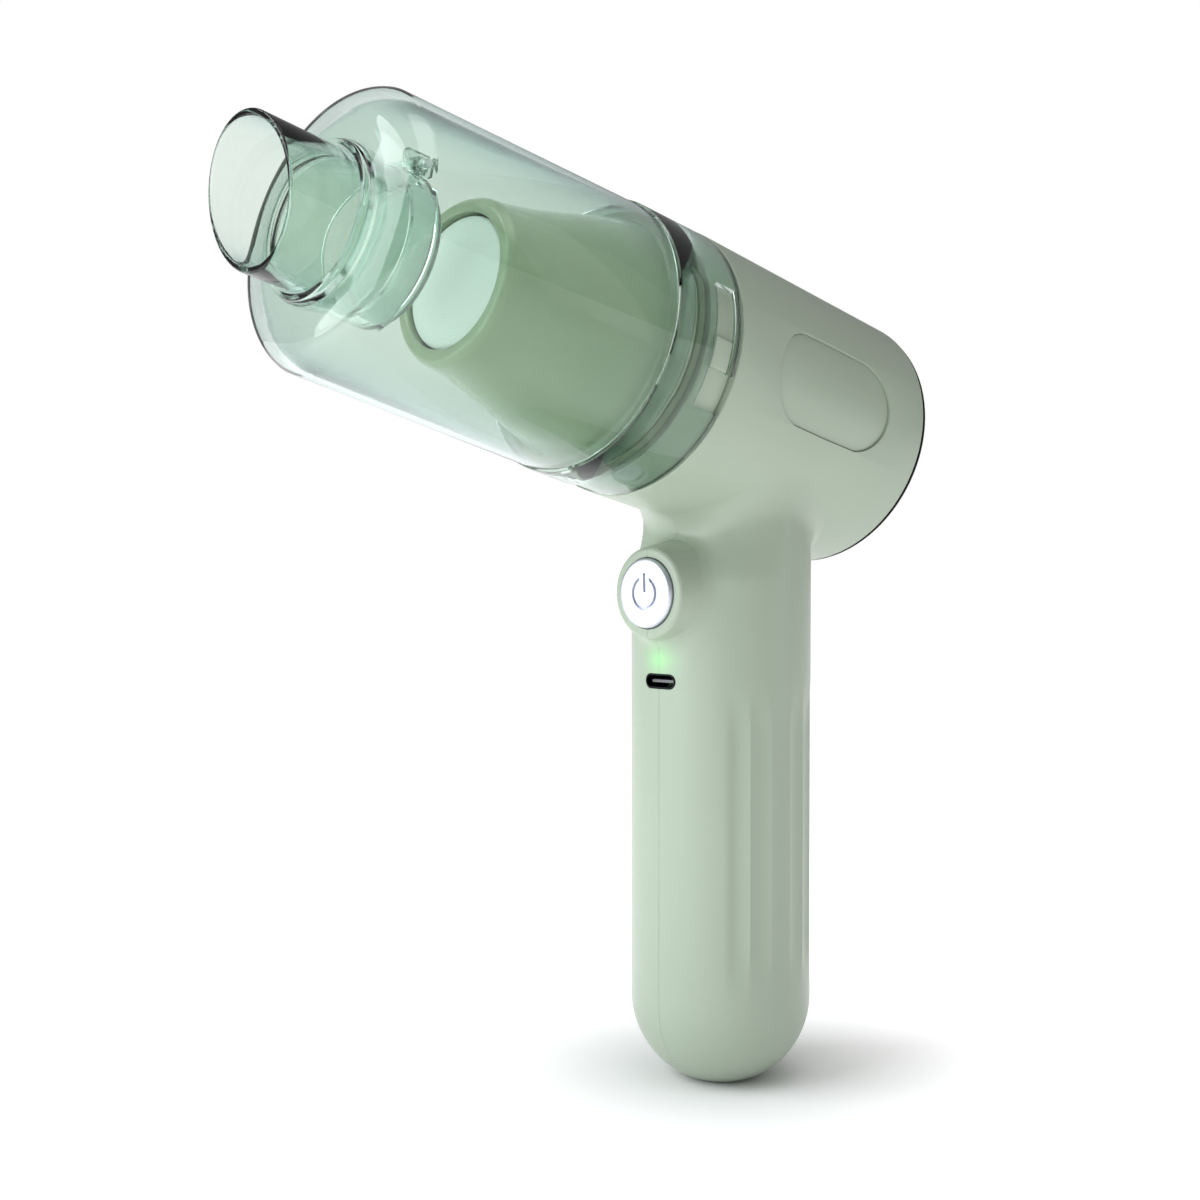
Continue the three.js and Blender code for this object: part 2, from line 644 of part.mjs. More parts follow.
function bayonet() {
  const collar = turned([
    [collarBore, shroudFront + gap],
    [plugRadius, shroudFront + gap],
    [plugRadius, gap],
    [collarRadius, gap],
    [collarRadius, collarLength],
    [collarBore, collarLength],
  ]);
  const lugMiddle = slotFar - slotLeg / 2;
  const lugs = around((turn) =>
    sector(collarRadius - 0.6, barrelRadius - 0.5, lugStart + turn, lugStart + lugWidth + turn,
      lugMiddle - lugTall / 2, lugMiddle + lugTall / 2));
  piece(barrel, "bayonet_collar", joined(collar, ...lugs), sage);
  const ring = turned([
    [ringInner, gap + 0.1],
    [barrelRadius - 0.1, gap + 0.1],
    [barrelRadius - 0.4, ringLength],
    [ringInner, ringLength],
  ]);
  const slotCut = (start, end, low) => sector(ringInner - 1, barrelRadius + 1, start, end, low, slotFar);
  const slots = around((turn) => joined(
    slotCut(slotStart - slotEntry + turn, slotStart + 0.01 + turn, -1),
    slotCut(slotStart + turn, slotStart + slotRun + turn, slotFar - slotLeg),
  ));
  piece(barrel, "bayonet_ring", cut(ring, ...slots), clear);
  const seal = turned([
    [collarBore + 0.6, collarLength + gap],
    [spigotInner - gap, collarLength + gap],
    [spigotInner, collarLength + gap + 0.9],
    [spigotInner - gap, sealFront],
    [collarBore + 0.6, sealFront],
  ], innerSides);
  piece(barrel, "cup_seal", seal, sealGreen);
}

// The filter housing's outer profile, from its base to its nose, as a smooth bell.
function bell(inset) {
  const base = flangeBack + 6.9;
  const steps = 5;
  return Array.from({ length: steps + 1 }, (_, i) => {
    const k = i / steps;
    const share = smooth(-0.35, 1.1, k) * 1.06 - 0.06 * (1 - k);
    const r = THREE.MathUtils.lerp(filterBaseRadius, filterNoseRadius, share);
    return [Math.min(r, filterBaseRadius) - inset, THREE.MathUtils.lerp(base, filterNose - 1.4, k)];
  });
}

function filter() {
  const spigot = collarBore - gap;
  const spigotLow = 3;
  const outer = [
    [spigot, spigotLow],
    [spigot, flangeBack],
    [flangeRadius, flangeBack],
    [flangeRadius, flangeBack + 6],
    ...bell(0),
    [filterNoseRadius - 1.4, filterNose],
    [filterMouth, filterNose],
    [filterMouth, filterNose - 2.4],
  ];
  const inner = bell(filterWall).reverse().filter(([, h]) => h < filterNose - 4);
  const rear = [[spigot - filterWall, flangeBack], [spigot - filterWall, spigotLow]];
  const frame = turned([...outer, ...inner, ...rear], innerSides);
  piece(barrel, "filter_housing", frame, filterGreen);
  const discBack = filterNose - discSunk - discThick;
  const disc = rod(filterMouth - gap, discBack, filterNose - discSunk);
  piece(barrel, "prefilter_disc", disc, felt);
  const low = 6;
  const high = discBack - gap;
  const [topRadius, topHeight] = inner[0];
  const share = (filterNose - 2.4 - high) / (filterNose - 2.4 - topHeight);
  const pleatRadius = THREE.MathUtils.lerp(filterMouth, topRadius, share) - pleatClear;
  const pleats = 30;
  const outline = Array.from({ length: pleats * 2 }, (_, i) => {
    const a = (i * Math.PI) / pleats;
    const r = i % 2 ? pleatRadius - 3.2 : pleatRadius;
    return new THREE.Vector2(r * Math.cos(a), r * Math.sin(a));
  });
  const shape = new THREE.Shape(outline);
  shape.holes.push(new THREE.Path().absarc(0, 0, pleatRadius - 5.7, 0, 2 * Math.PI, true));
  const settings = { depth: high - low, bevelEnabled: false, curveSegments: 6 };
  const pleated = new THREE.ExtrudeGeometry(shape, settings);
  piece(barrel, "pleated_filter", solid(pleated.translate(0, 0, low)), felt);
  const gridRadius = spigot - filterWall - gap;
  const window = (inner, outer, start, end) => sector(inner, outer, rad(start), rad(end), 0, low + 1);
  const grid = cut(
    rod(gridRadius, spigotLow, low - gap),
    ...Array.from({ length: 6 }, (_, i) => window(3, 7.6, i * 60 + 9, i * 60 + 51)),
    ...Array.from({ length: 8 }, (_, i) => window(gridRadius - 7.7, gridRadius - 1.7, i * 45 + 5, i * 45 + 40)),
  );
  piece(barrel, "filter_grid", grid, filterGreen);
}

const hingeX = intakeRadius + 1.6; // the flap's pin, above the intake tube
const hingeS = intakeEnd - 1.1;
const pinHalf = knuckleHalf + earGap + earWide + 0.6;

function dustCup() {
  const shoulderStart = cupLength - shoulderLength;
  const bend = 4;
  const corner = (inset) => Array.from({ length: bend + 1 }, (_, i) => {
    const k = i / bend;
    const r = (1 - k) ** 2 * cupFrontRadius + 2 * k * (1 - k) * (cupFrontRadius - 1.4) + k * k * faceRadius;
    const h = (1 - k) ** 2 * shoulderStart + 2 * k * (1 - k) * (cupLength - 1.2) + k * k * cupLength;
    return [r - inset, h - inset];
  });
  const profile = [
    [spigotInner, spigotBack],
    [spigotRadius, spigotBack],
    [spigotRadius, ringLength + gap],
    [cupBackRadius, ringLength + gap],
    ...corner(0),
    [socketRadius + 1.4, cupLength],
    [socketRadius + 1.4, cupLength + lipProud],
    [socketRadius, cupLength + lipProud],
    [socketRadius, cupLength - nozzleDepth],
    [socketRadius - 1.3, cupLength - nozzleDepth],
    [socketRadius - 1.3, intakeEnd],
    [intakeRadius, intakeEnd],
    [intakeRadius, cupLength - cupWall],
    ...corner(cupWall).reverse(),
    [cupBackRadius - cupWall - 0.1, ringLength + gap + 4],
    [spigotInner, ringLength + gap],
  ];
  const ears = [-1, 1].map((side) => {
    const near = knuckleHalf + earGap;
    const low = side > 0 ? near : -near - earWide;
    return block(intakeRadius - 0.8, hingeX + earWide, low, low + earWide, hingeS - earWide, intakeEnd + 3);
  });
  const bore = along(rod(pinRadius + pinClear, -8, 8, 12), "y", hingeX, 0, hingeS);
  piece(barrel, "dust_cup", cut(joined(turned(profile), ...ears), bore), clear);
  piece(barrel, "flap_pin", along(rod(pinRadius, -pinHalf, pinHalf, 12), "y", hingeX, 0, hingeS), steel);
}

function intakeFlap() {
  const front = intakeEnd - 0.35;
  const disc = rod(socketRadius + 0.3, front - 1.1, front);
  const knuckle = along(rod(1.6, -knuckleHalf, knuckleHalf, 16), "y", hingeX, 0, hingeS);
  const web = block(socketRadius - 1.5, hingeX, -knuckleHalf, knuckleHalf, front - 1.1, front);
  const bore = along(rod(pinRadius + pinClear, -8, 8, 12), "y", hingeX, 0, hingeS);
  piece(barrel, "intake_flap", cut(joined(disc, knuckle, web), bore), silicone);
}

function nozzle() {
  const back = cupLength - nozzleDepth + gap;
  const long = tube(nozzleRadius, nozzleRadius - nozzleWall, back, nozzleReach + 12);
  const slant = shifted(spun(block(-40, 40, -40, 40, 0, 40), 0, -mouthSlant, 0), 0, 0, nozzleReach);
  piece(barrel, "nozzle", cut(long, slant), clear);
}

shells();
pads();
footPad();
rearCap();
powerButton();
electronics();
battery();
leads();
motor();
fan();
bayonet();
filter();
dustCup();
intakeFlap();
nozzle();

export default vacuum;
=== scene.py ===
import bpy
import bmesh
import json
import math
from mathutils import Matrix, Vector


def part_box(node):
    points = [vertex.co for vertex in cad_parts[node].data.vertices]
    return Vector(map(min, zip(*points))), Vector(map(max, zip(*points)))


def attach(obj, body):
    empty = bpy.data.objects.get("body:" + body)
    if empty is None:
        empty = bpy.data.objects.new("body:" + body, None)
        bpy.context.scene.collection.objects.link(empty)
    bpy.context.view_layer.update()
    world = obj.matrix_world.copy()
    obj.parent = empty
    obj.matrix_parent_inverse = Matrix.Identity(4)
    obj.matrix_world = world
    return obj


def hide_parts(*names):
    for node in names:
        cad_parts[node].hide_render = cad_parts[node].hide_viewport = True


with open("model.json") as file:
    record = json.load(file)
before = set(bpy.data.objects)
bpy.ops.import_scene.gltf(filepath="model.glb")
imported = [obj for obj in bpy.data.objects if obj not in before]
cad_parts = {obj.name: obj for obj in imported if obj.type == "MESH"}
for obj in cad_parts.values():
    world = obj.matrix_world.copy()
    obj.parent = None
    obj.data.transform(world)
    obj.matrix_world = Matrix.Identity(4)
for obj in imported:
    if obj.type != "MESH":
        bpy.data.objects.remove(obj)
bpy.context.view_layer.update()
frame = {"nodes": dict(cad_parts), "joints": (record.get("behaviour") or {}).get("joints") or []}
scene = bpy.context.scene
mm = 0.001
pi = math.pi
print("frame loaded")

# places, all taken from the frame: the barrel's parts are made about +Z, which runs towards the nose
twist = next(j for j in frame["joints"] if j["name"] == "cup_twist")
flapHinge = next(j for j in frame["joints"] if j["name"] == "flap_swing")
seam = Vector(twist["pos_m"]) / mm
nose = Vector(twist["axis"]).normalized()
side = Vector((0, 1, 0))
up = side.cross(nose)
barrelFrame = Matrix((up, side, nose)).transposed().to_4x4()
barrelFrame.translation = seam
tilt = math.asin(nose.z)
uprightFrame = Matrix.Identity(4)


def middle(node):
    low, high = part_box(node)
    return (low + high) / 2 / mm


def span(node):
    low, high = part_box(node)
    return (high - low) / mm


bossHeight = middle("power_button").z
usbHeight = middle("usb_port").z
buttonFrame = Matrix(((0, 0, 1, 0), (1, 0, 0, 0), (0, 1, 0, bossHeight), (0, 0, 0, 1)))  # +Z runs along +X
usbFrame = Matrix(((0, 0, 1, 0), (1, 0, 0, 0), (0, 1, 0, usbHeight), (0, 0, 0, 1)))
flapPin = barrelFrame.inverted() @ (Vector(flapHinge["pos_m"]) / mm)


# modelling helpers, in millimetres
def outline(points, rounding=None, closed=True, segments=4):
    # a wire of [radius, height] points with some corners rounded, ready to be spun
    bm = bmesh.new()
    verts = [bm.verts.new((r, 0, z)) for r, z in points]
    for a, b in zip(verts, verts[1:] + (verts[:1] if closed else [])):
        bm.edges.new((a, b))
    for index, radius in (rounding or {}).items():
        bmesh.ops.bevel(bm, geom=[verts[index]], offset=radius, offset_type="OFFSET", segments=segments,
                        profile=0.5, affect="VERTICES", material=-1, clamp_overlap=True)
    return bm


def spun(points, rounding=None, steps=144, closed=True, segments=4):
    bm = outline(points, rounding, closed, segments)
    bmesh.ops.spin(bm, geom=bm.edges[:] + bm.verts[:], cent=(0, 0, 0), axis=(0, 0, 1),
                   angle=2 * pi, steps=steps, use_merge=True)
    bmesh.ops.remove_doubles(bm, verts=bm.verts, dist=1e-4)
    bmesh.ops.recalc_face_normals(bm, faces=bm.faces)
    return bm


def rod(radius, low, high, rounding=0, steps=96):
    corners = {1: rounding, 2: rounding} if rounding else None
    return spun([(0, low), (radius, low), (radius, high), (0, high)], corners, steps, closed=False)


def block(low, high, rounding=0):
    bm = bmesh.new()
    bmesh.ops.create_cube(bm, size=1)
    low, high = Vector(low), Vector(high)
    bmesh.ops.scale(bm, vec=high - low, verts=bm.verts)
    bmesh.ops.translate(bm, vec=(low + high) / 2, verts=bm.verts)
    if rounding:
        bmesh.ops.bevel(bm, geom=bm.edges[:], offset=rounding, offset_type="OFFSET", segments=3, profile=0.5,
                        affect="EDGES", material=-1, clamp_overlap=True)
    return bm


def stadium(length, tall, low, high, steps=24):
    # an upright prism with round ends, its length along X
    bm = bmesh.new()
    half = length / 2 - tall / 2
    bmesh.ops.create_circle(bm, cap_ends=True, radius=tall / 2, segments=2 * steps)
    for v in bm.verts:
        v.co.x += half if v.co.x > 1e-6 else -half if v.co.x < -1e-6 else 0
    bmesh.ops.translate(bm, vec=(0, 0, low), verts=bm.verts)
    raised = bmesh.ops.extrude_face_region(bm, geom=bm.faces[:])["geom"]
    bmesh.ops.translate(bm, vec=(0, 0, high - low),
                        verts=[g for g in raised if isinstance(g, bmesh.types.BMVert)])
    bmesh.ops.recalc_face_normals(bm, faces=bm.faces)
    return bm


def placed(bm, place):
    bmesh.ops.transform(bm, matrix=place, verts=bm.verts)
    if place.to_3x3().determinant() < 0:
        bmesh.ops.reverse_faces(bm, faces=bm.faces)
    return bm


def turned(bm, degrees, axis="Z"):
    return placed(bm, Matrix.Rotation(math.radians(degrees), 4, axis))


def combine(first, *others):
    # several closed shapes in one mesh
    for other in others:
        mesh = bpy.data.meshes.new("part")
        other.to_mesh(mesh)
        first.from_mesh(mesh)
        bpy.data.meshes.remove(mesh)
        other.free()
    return first


def asObject(bm, name="tool"):
    mesh = bpy.data.meshes.new(name)
    bm.to_mesh(mesh)
    bm.free()
    made = bpy.data.objects.new(name, mesh)
    scene.collection.objects.link(made)
    return made


def carved(bm, operation, *tools):
    # the exact boolean of a shape with each of the tools, as a new bmesh
    base = asObject(bm)
    made = [asObject(tool) for tool in tools]
    for tool in made:
        modifier = base.modifiers.new("carve", "BOOLEAN")
        modifier.operation = operation
        modifier.solver = "EXACT"
        modifier.object = tool
    shape = base.evaluated_get(bpy.context.evaluated_depsgraph_get()).to_mesh()
    result = bmesh.new()
    result.from_mesh(shape)
    for thing in [base, *made]:
        mesh = thing.data
        bpy.data.objects.remove(thing)
        bpy.data.meshes.remove(mesh)
    bmesh.ops.remove_doubles(result, verts=result.verts, dist=2e-4)
    bmesh.ops.dissolve_degenerate(result, dist=2e-4, edges=result.edges)
    return result


def softened(bm, width, sharper=40, segments=2, where=None):
    # rounds the edges that are sharper than an angle
    edges = [e for e in bm.edges if e.is_manifold and e.calc_face_angle(0) > math.radians(sharper)
             and (where is None or where(e))]
    bmesh.ops.bevel(bm, geom=edges, offset=width, offset_type="OFFSET", segments=segments, profile=0.5,
                    affect="EDGES", material=-1, clamp_overlap=True)
    return bm


def piece(bm, name, place, material, body, nodes, creaseAngle=32):
    # a finished piece in metres in the frame, riding on its body in place of its CAD nodes
    placed(bm, Matrix.Scale(mm, 4) @ place)
    for f in bm.faces:
        f.smooth = True
    for e in bm.edges:
        e.smooth = e.is_manifold and e.calc_face_angle(0) < math.radians(creaseAngle)
    made = asObject(bm, name)
    made.data.materials.append(material)
    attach(made, body)
    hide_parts(*nodes)
    return made


# shader helpers
class Wire:
    # one output socket, with arithmetic that adds Math nodes
    def __init__(self, recipe, socket):
        self.recipe = recipe
        self.socket = socket

    def math(self, operation, *others):
        return self.recipe.node("ShaderNodeMath", {"operation": operation}, dict(enumerate([self, *others])))

    def __add__(self, other):
        return self.math("ADD", other)

    def __mul__(self, other):
        return self.math("MULTIPLY", other)

    def __sub__(self, other):
        return self.math("SUBTRACT", other)

    def __truediv__(self, other):
        return self.math("DIVIDE", other)

    def __rsub__(self, other):
        return (self * -1) + other

    __radd__ = __add__
    __rmul__ = __mul__

    def clamped(self):
        return self.math("MINIMUM", 1).math("MAXIMUM", 0)


class Recipe:
    # one material, grown from its Principled shader
    def __init__(self, name, **fixed):
        self.material = bpy.data.materials.new(name)
        self.material.use_nodes = True
        self.tree = self.material.node_tree
        self.shader = self.tree.nodes["Principled BSDF"]
        for key, value in fixed.items():
            self.shader.inputs[key.replace("_", " ")].default_value = value

    def node(self, kind, settings=None, values=None, output=0):
        made = self.tree.nodes.new(kind)
        for key, value in (settings or {}).items():
            if key == "stops":
                while len(made.color_ramp.elements) < len(value):
                    made.color_ramp.elements.new(0.5)
                for element, (position, colour) in zip(made.color_ramp.elements, value):
                    element.position = position
                    element.color = colour
            else:
                setattr(made, key, value)
        for key, value in (values or {}).items():
            if isinstance(value, Wire):
                self.tree.links.new(value.socket, made.inputs[key])
            else:
                made.inputs[key].default_value = value
        return Wire(self, made.outputs[output])

    def place(self):
        return self.node("ShaderNodeTexCoord", output="Object")

    def stretched(self, scales):
        return self.node("ShaderNodeMapping", {"vector_type": "POINT"},
                         {"Vector": self.place(), "Scale": scales})

    def noise(self, scale, detail=2.0, rough=0.5, at=None):
        return self.node("ShaderNodeTexNoise", None, {"Vector": at or self.place(), "Scale": scale,
                                                      "Detail": detail, "Roughness": rough})

    def mix(self, factor, a, b):
        # sockets 6 and 7 are the node's two colours, and output 2 its colour
        return self.node("ShaderNodeMix", {"data_type": "RGBA"}, {0: factor, 6: a, 7: b}, 2)

    def bump(self, height, strength, distance):
        return self.node("ShaderNodeBump", None,
                         {"Strength": strength, "Distance": distance, "Height": height})

    def feed(self, **wires):
        for key, wire in wires.items():
            self.tree.links.new(wire.socket, self.shader.inputs[key.replace("_", " ")])
        return self.material


def shade(red, green, blue, alpha=1.0):
    # a colour picked in sRGB, as the shader wants it
    linear = [c / 12.92 if c <= 0.04045 else ((c + 0.055) / 1.055) ** 2.4 for c in (red, green, blue)]
    return (*linear, alpha)


# finishes
sage = {"deep": shade(0.610, 0.662, 0.592), "pale": shade(0.632, 0.684, 0.614), "roughness": 0.34}
# where and how strongly the charge light's glow is painted onto the shell
glow = {"colour": shade(0.14, 1.0, 0.26), "reach": 9.0, "strength": 0.5, "stretch": (1, 0.85, 1.05),
        "depth": -20.5, "drop": 0.6}


def sagePlastic(name, lit=False):
    # satin moulded plastic with a faint spark-eroded texture and cloudy colour
    r = Recipe(name, IOR=1.47, Coat_Weight=0.12, Coat_Roughness=0.22,
               Emission_Strength=glow["strength"] if lit else 0.0)
    clouds = r.noise(35, 3)
    grain = r.noise(4200, 2, 0.6)
    colour = r.mix(clouds, sage["deep"], sage["pale"])
    roughness = sage["roughness"] + 0.07 * (clouds - 0.5) + 0.05 * (grain - 0.5)
    wires = {"Base_Color": colour, "Roughness": roughness, "Normal": r.bump(grain, 0.16, 0.00006)}
    if lit:  # the charge light shining through the wall is painted on as a green glow between the button and the socket
        source = Vector((glow["depth"], 0, middle("status_led").z - glow["drop"])) * mm
        offset = r.node("ShaderNodeVectorMath", {"operation": "SUBTRACT"}, {0: r.place(), 1: source})
        stretched = r.node("ShaderNodeVectorMath", {"operation": "MULTIPLY"}, {0: offset, 1: glow["stretch"]})
        distance = r.node("ShaderNodeVectorMath", {"operation": "LENGTH"}, {0: stretched}, "Value")
        halo = (1 - distance / (glow["reach"] * mm)).clamped()
        wires["Emission_Color"] = r.mix(halo * halo * halo, (0, 0, 0, 1), glow["colour"])
    return r.feed(**wires)


def shadowLinedCap(name, shadowFrom):
    # from a little behind the rim's front edge forwards the cap is painted near-black as the shadow in the gap
    # behind the shell, which shows as a thin dark line round the rear edge
    r = Recipe(name, IOR=1.47, Coat_Weight=0.12, Coat_Roughness=0.22)
    along = r.node("ShaderNodeVectorMath", {"operation": "DOT_PRODUCT"}, {0: r.place(), 1: nose}, "Value")
    edge = (seam * mm).dot(nose) - shadowFrom * mm
    paintedShadow = ((along - edge) / (0.1 * mm)).clamped()
    clouds = r.noise(35, 3)
    body = r.mix(clouds, sage["deep"], sage["pale"])
    grain = r.noise(4200, 2, 0.6)
    return r.feed(Base_Color=r.mix(paintedShadow, body, shade(0.012, 0.014, 0.013)),
                  Roughness=sage["roughness"] + 0.4 * paintedShadow, Normal=r.bump(grain, 0.16, 0.00006))


# painted bluish tint for clear parts seen edge-on, standing in for what their rims refract
paintedRimTint = shade(0.50, 0.70, 0.73)


def clearPlastic(name, tint, roughness=0.02):
    # tinted styrene: clear, with a painted bluer tint where seen edge-on that stands in for what the rims
    # refract, faint flow marks and handling haze
    r = Recipe(name, Transmission_Weight=1.0, IOR=1.22, Coat_Weight=0.5, Coat_Roughness=0.03)
    flow = r.noise(60, 2)
    haze = r.noise(900, 3, 0.6)
    edge = r.node("ShaderNodeLayerWeight", None, {"Blend": 0.4}, "Facing")
    colour = r.mix((edge * edge * 0.9).clamped(), r.mix(flow, tint[0], tint[1]), paintedRimTint)
    return r.feed(Base_Color=colour, Roughness=roughness + 0.025 * haze, Normal=r.bump(flow, 0.05, 0.0002))


def glossPlastic(name, deep, pale, roughness, coat=0.5, grainScale=2600, grain=0.05):
    r = Recipe(name, IOR=1.5, Coat_Weight=coat, Coat_Roughness=0.06)
    clouds = r.noise(45, 3)
    fine = r.noise(grainScale, 2)
    return r.feed(Base_Color=r.mix(clouds, deep, pale), Roughness=roughness + 0.06 * (clouds - 0.5),
                  Normal=r.bump(fine, grain, 0.00005))


def metal(name, deep, pale, roughness=0.3, scratches=(400, 4000, 400)):
    # brushed or turned metal: the scratch pattern is noise stretched along one axis
    r = Recipe(name, Metallic=1.0)
    lines = r.noise(1, 3, 0.6, r.stretched(scratches))
    return r.feed(Base_Color=r.mix(lines, deep, pale), Roughness=roughness + 0.16 * (lines - 0.5),
                  Normal=r.bump(lines, 0.2, 0.00003))


def rubbery(name, deep, pale, roughness=0.75):
    r = Recipe(name, IOR=1.5, Sheen_Weight=0.1)
    dust = r.noise(220, 4, 0.65)
    grain = r.noise(3000, 2)
    return r.feed(Base_Color=r.mix(dust, deep, pale), Roughness=roughness + 0.12 * (dust - 0.5),
                  Normal=r.bump(grain, 0.35, 0.0001))


def fibrous(name, deep, pale):
    # pressed felt: matted fibres from two crossed stretched noises
    r = Recipe(name, Roughness=0.95, Sheen_Weight=0.25)
    along = r.noise(1, 4, 0.7, r.stretched((700, 5200, 2400)))
    across = r.noise(1, 4, 0.7, r.stretched((5200, 700, 2400)))
    fibres = (along + across) * 0.5
    return r.feed(Base_Color=r.mix(fibres, deep, pale), Normal=r.bump(fibres, 0.6, 0.0003))


def boardFinish(name):
    # solder mask over copper tracks
    r = Recipe(name, Coat_Weight=0.6, Coat_Roughness=0.15, IOR=1.5)
    tracks = r.node("ShaderNodeTexVoronoi", {"distance": "MANHATTAN", "feature": "F1"},
                    {"Vector": r.place(), "Scale": 420.0}, "Distance")
    lines = ((tracks - 0.28) * 14).clamped()
    return r.feed(Base_Color=r.mix(lines, shade(0.10, 0.34, 0.20), shade(0.20, 0.46, 0.27)),
                  Roughness=0.35 + 0.15 * lines, Normal=r.bump(lines, 0.4, 0.0001))


shellFinish = sagePlastic("sageShell", lit=True)
trimFinish = sagePlastic("sageTrim")
cupTint = (shade(0.885, 0.928, 0.898), shade(0.900, 0.940, 0.912))
cupFinish = clearPlastic("clearCup", cupTint)
ringFinish = clearPlastic("clearRing", (shade(0.855, 0.905, 0.865), shade(0.875, 0.92, 0.885)), 0.03)
filterFinish = glossPlastic("filterGreen", shade(0.50, 0.58, 0.45), shade(0.54, 0.62, 0.49), 0.22, 0.8,
                            900, 0.008)
pearlFinish = metal("pearlSilver", shade(0.78, 0.79, 0.83), shade(0.84, 0.85, 0.89), 0.44, (900, 900, 900))
darkFinish = glossPlastic("blackPlastic", shade(0.07, 0.07, 0.08), shade(0.10, 0.10, 0.11), 0.45, 0.1)
steelFinish = metal("turnedSteel", shade(0.66, 0.67, 0.69), shade(0.82, 0.83, 0.85))
# steel darkened to near-black as painted shade for the inside of the port
shadedSocketMetal = metal("steelWithPaintedPortShade", shade(0.10, 0.10, 0.11), shade(0.20, 0.20, 0.21), 0.35)
windingFinish = metal("copperWinding", shade(0.62, 0.34, 0.18), shade(0.80, 0.48, 0.28), 0.35,
                      (5000, 600, 600))
magnetFinish = metal("magnetGrey", shade(0.16, 0.16, 0.18), shade(0.28, 0.28, 0.30), 0.55)
# dark rubber; on the foot its near-black also stands in for the contact shadow under the base
rubberAndContactShade = rubbery("rubberFootAndContactShade", shade(0.10, 0.11, 0.11), shade(0.16, 0.17, 0.17))
sealFinish = rubbery("sealRubber", shade(0.40, 0.47, 0.36), shade(0.45, 0.52, 0.41), 0.5)
feltFinish = fibrous("filterFelt", shade(0.80, 0.85, 0.83), shade(0.95, 0.97, 0.96))
flapFinish = clearPlastic("flapSilicone", (shade(0.86, 0.94, 0.91), shade(0.90, 0.96, 0.93)), 0.22)
boardGreen = boardFinish("boardGreen")
cellFinish = glossPlastic("cellWrap", shade(0.16, 0.34, 0.58), shade(0.22, 0.42, 0.68), 0.3, 0.4)
redWire = glossPlastic("redWire", shade(0.62, 0.10, 0.12), shade(0.74, 0.16, 0.17), 0.4, 0.1)
blackWire = glossPlastic("blackWire", shade(0.06, 0.06, 0.06), shade(0.11, 0.11, 0.11), 0.4, 0.1)
ledFinish = glossPlastic("ledGreen", shade(0.40, 0.95, 0.52), shade(0.55, 1.0, 0.66), 0.2, 0.3)
print("finishes made")

# shells: the grip and the motor housing, parted along the middle
grip = {"radius": 21.0, "footRadius": 7.4, "footProud": 0.6, "footTall": 1.9, "wall": 2.0, "fillet": 4.5,
        "scoop": 5.8, "scoopSpread": 1.4, "scoopStart": 116.0, "flutes": 24, "fluteDepth": 0.62,
        "fluteReach": 138.0, "fluteLow": 21.5, "fluteHigh": 95.0, "fluteFade": 14.0}
housing = {"radius": 30.8, "length": 66.8, "wall": 2.0, "edge": 0.35, "partingGap": 0.03}
boss = {"face": 24.8, "radius": 10.2, "baseRadius": 12.6, "root": 14.0, "edge": 0.9, "flare": 1.5,
        "flareRise": 0.9, "hole": 8.15}
domeCentre = math.sqrt(grip["radius"] ** 2 - grip["footRadius"] ** 2)


def smoothStep(low, high, value):
    t = min(1, max(0, (value - low) / (high - low)))
    return t * t * (3 - 2 * t)


def underside(x, y):
    # height of the housing's underside over x, y
    drop = math.sqrt(max(housing["radius"] ** 2 - y * y, 0))
    return seam.z - (drop + (x - seam.x) * math.sin(tilt)) / math.cos(tilt)


def neckRadius(angle):
    return grip["radius"] - grip["scoop"] * max(0, -math.cos(angle)) ** grip["scoopSpread"]


def neckEnd(angle):
    far = neckRadius(angle) + grip["fillet"]
    z = underside(far * math.cos(angle), far * math.sin(angle))
    near = far - 0.01
    slope = (z - underside(near * math.cos(angle), near * math.sin(angle))) / 0.01
    return far, z, z - slope * grip["fillet"]


def gripRadius(angle, z):
    start = neckEnd(angle)[2] - grip["fillet"]
    share = smoothStep(grip["scoopStart"], start, z)
    return grip["radius"] + (neckRadius(angle) - grip["radius"]) * share


def fluteCut(angle, z):
    # concave flutes round the grip's rear, which fade out at both ends and towards the front
    back = abs(math.degrees(math.atan2(math.sin(angle), math.cos(angle))))
    share = (angle * grip["flutes"] / (2 * pi)) % 1
    hollow = 1 - (2 * share - 1) ** 2
    low, high, fade = grip["fluteLow"], grip["fluteHigh"], grip["fluteFade"]
    ends = smoothStep(low, low + fade, z) * (1 - smoothStep(high - fade, high, z))
    rear = 1 - smoothStep(grip["fluteReach"] - 9, grip["fluteReach"], back)
    return grip["fluteDepth"] * hollow * ends * rear


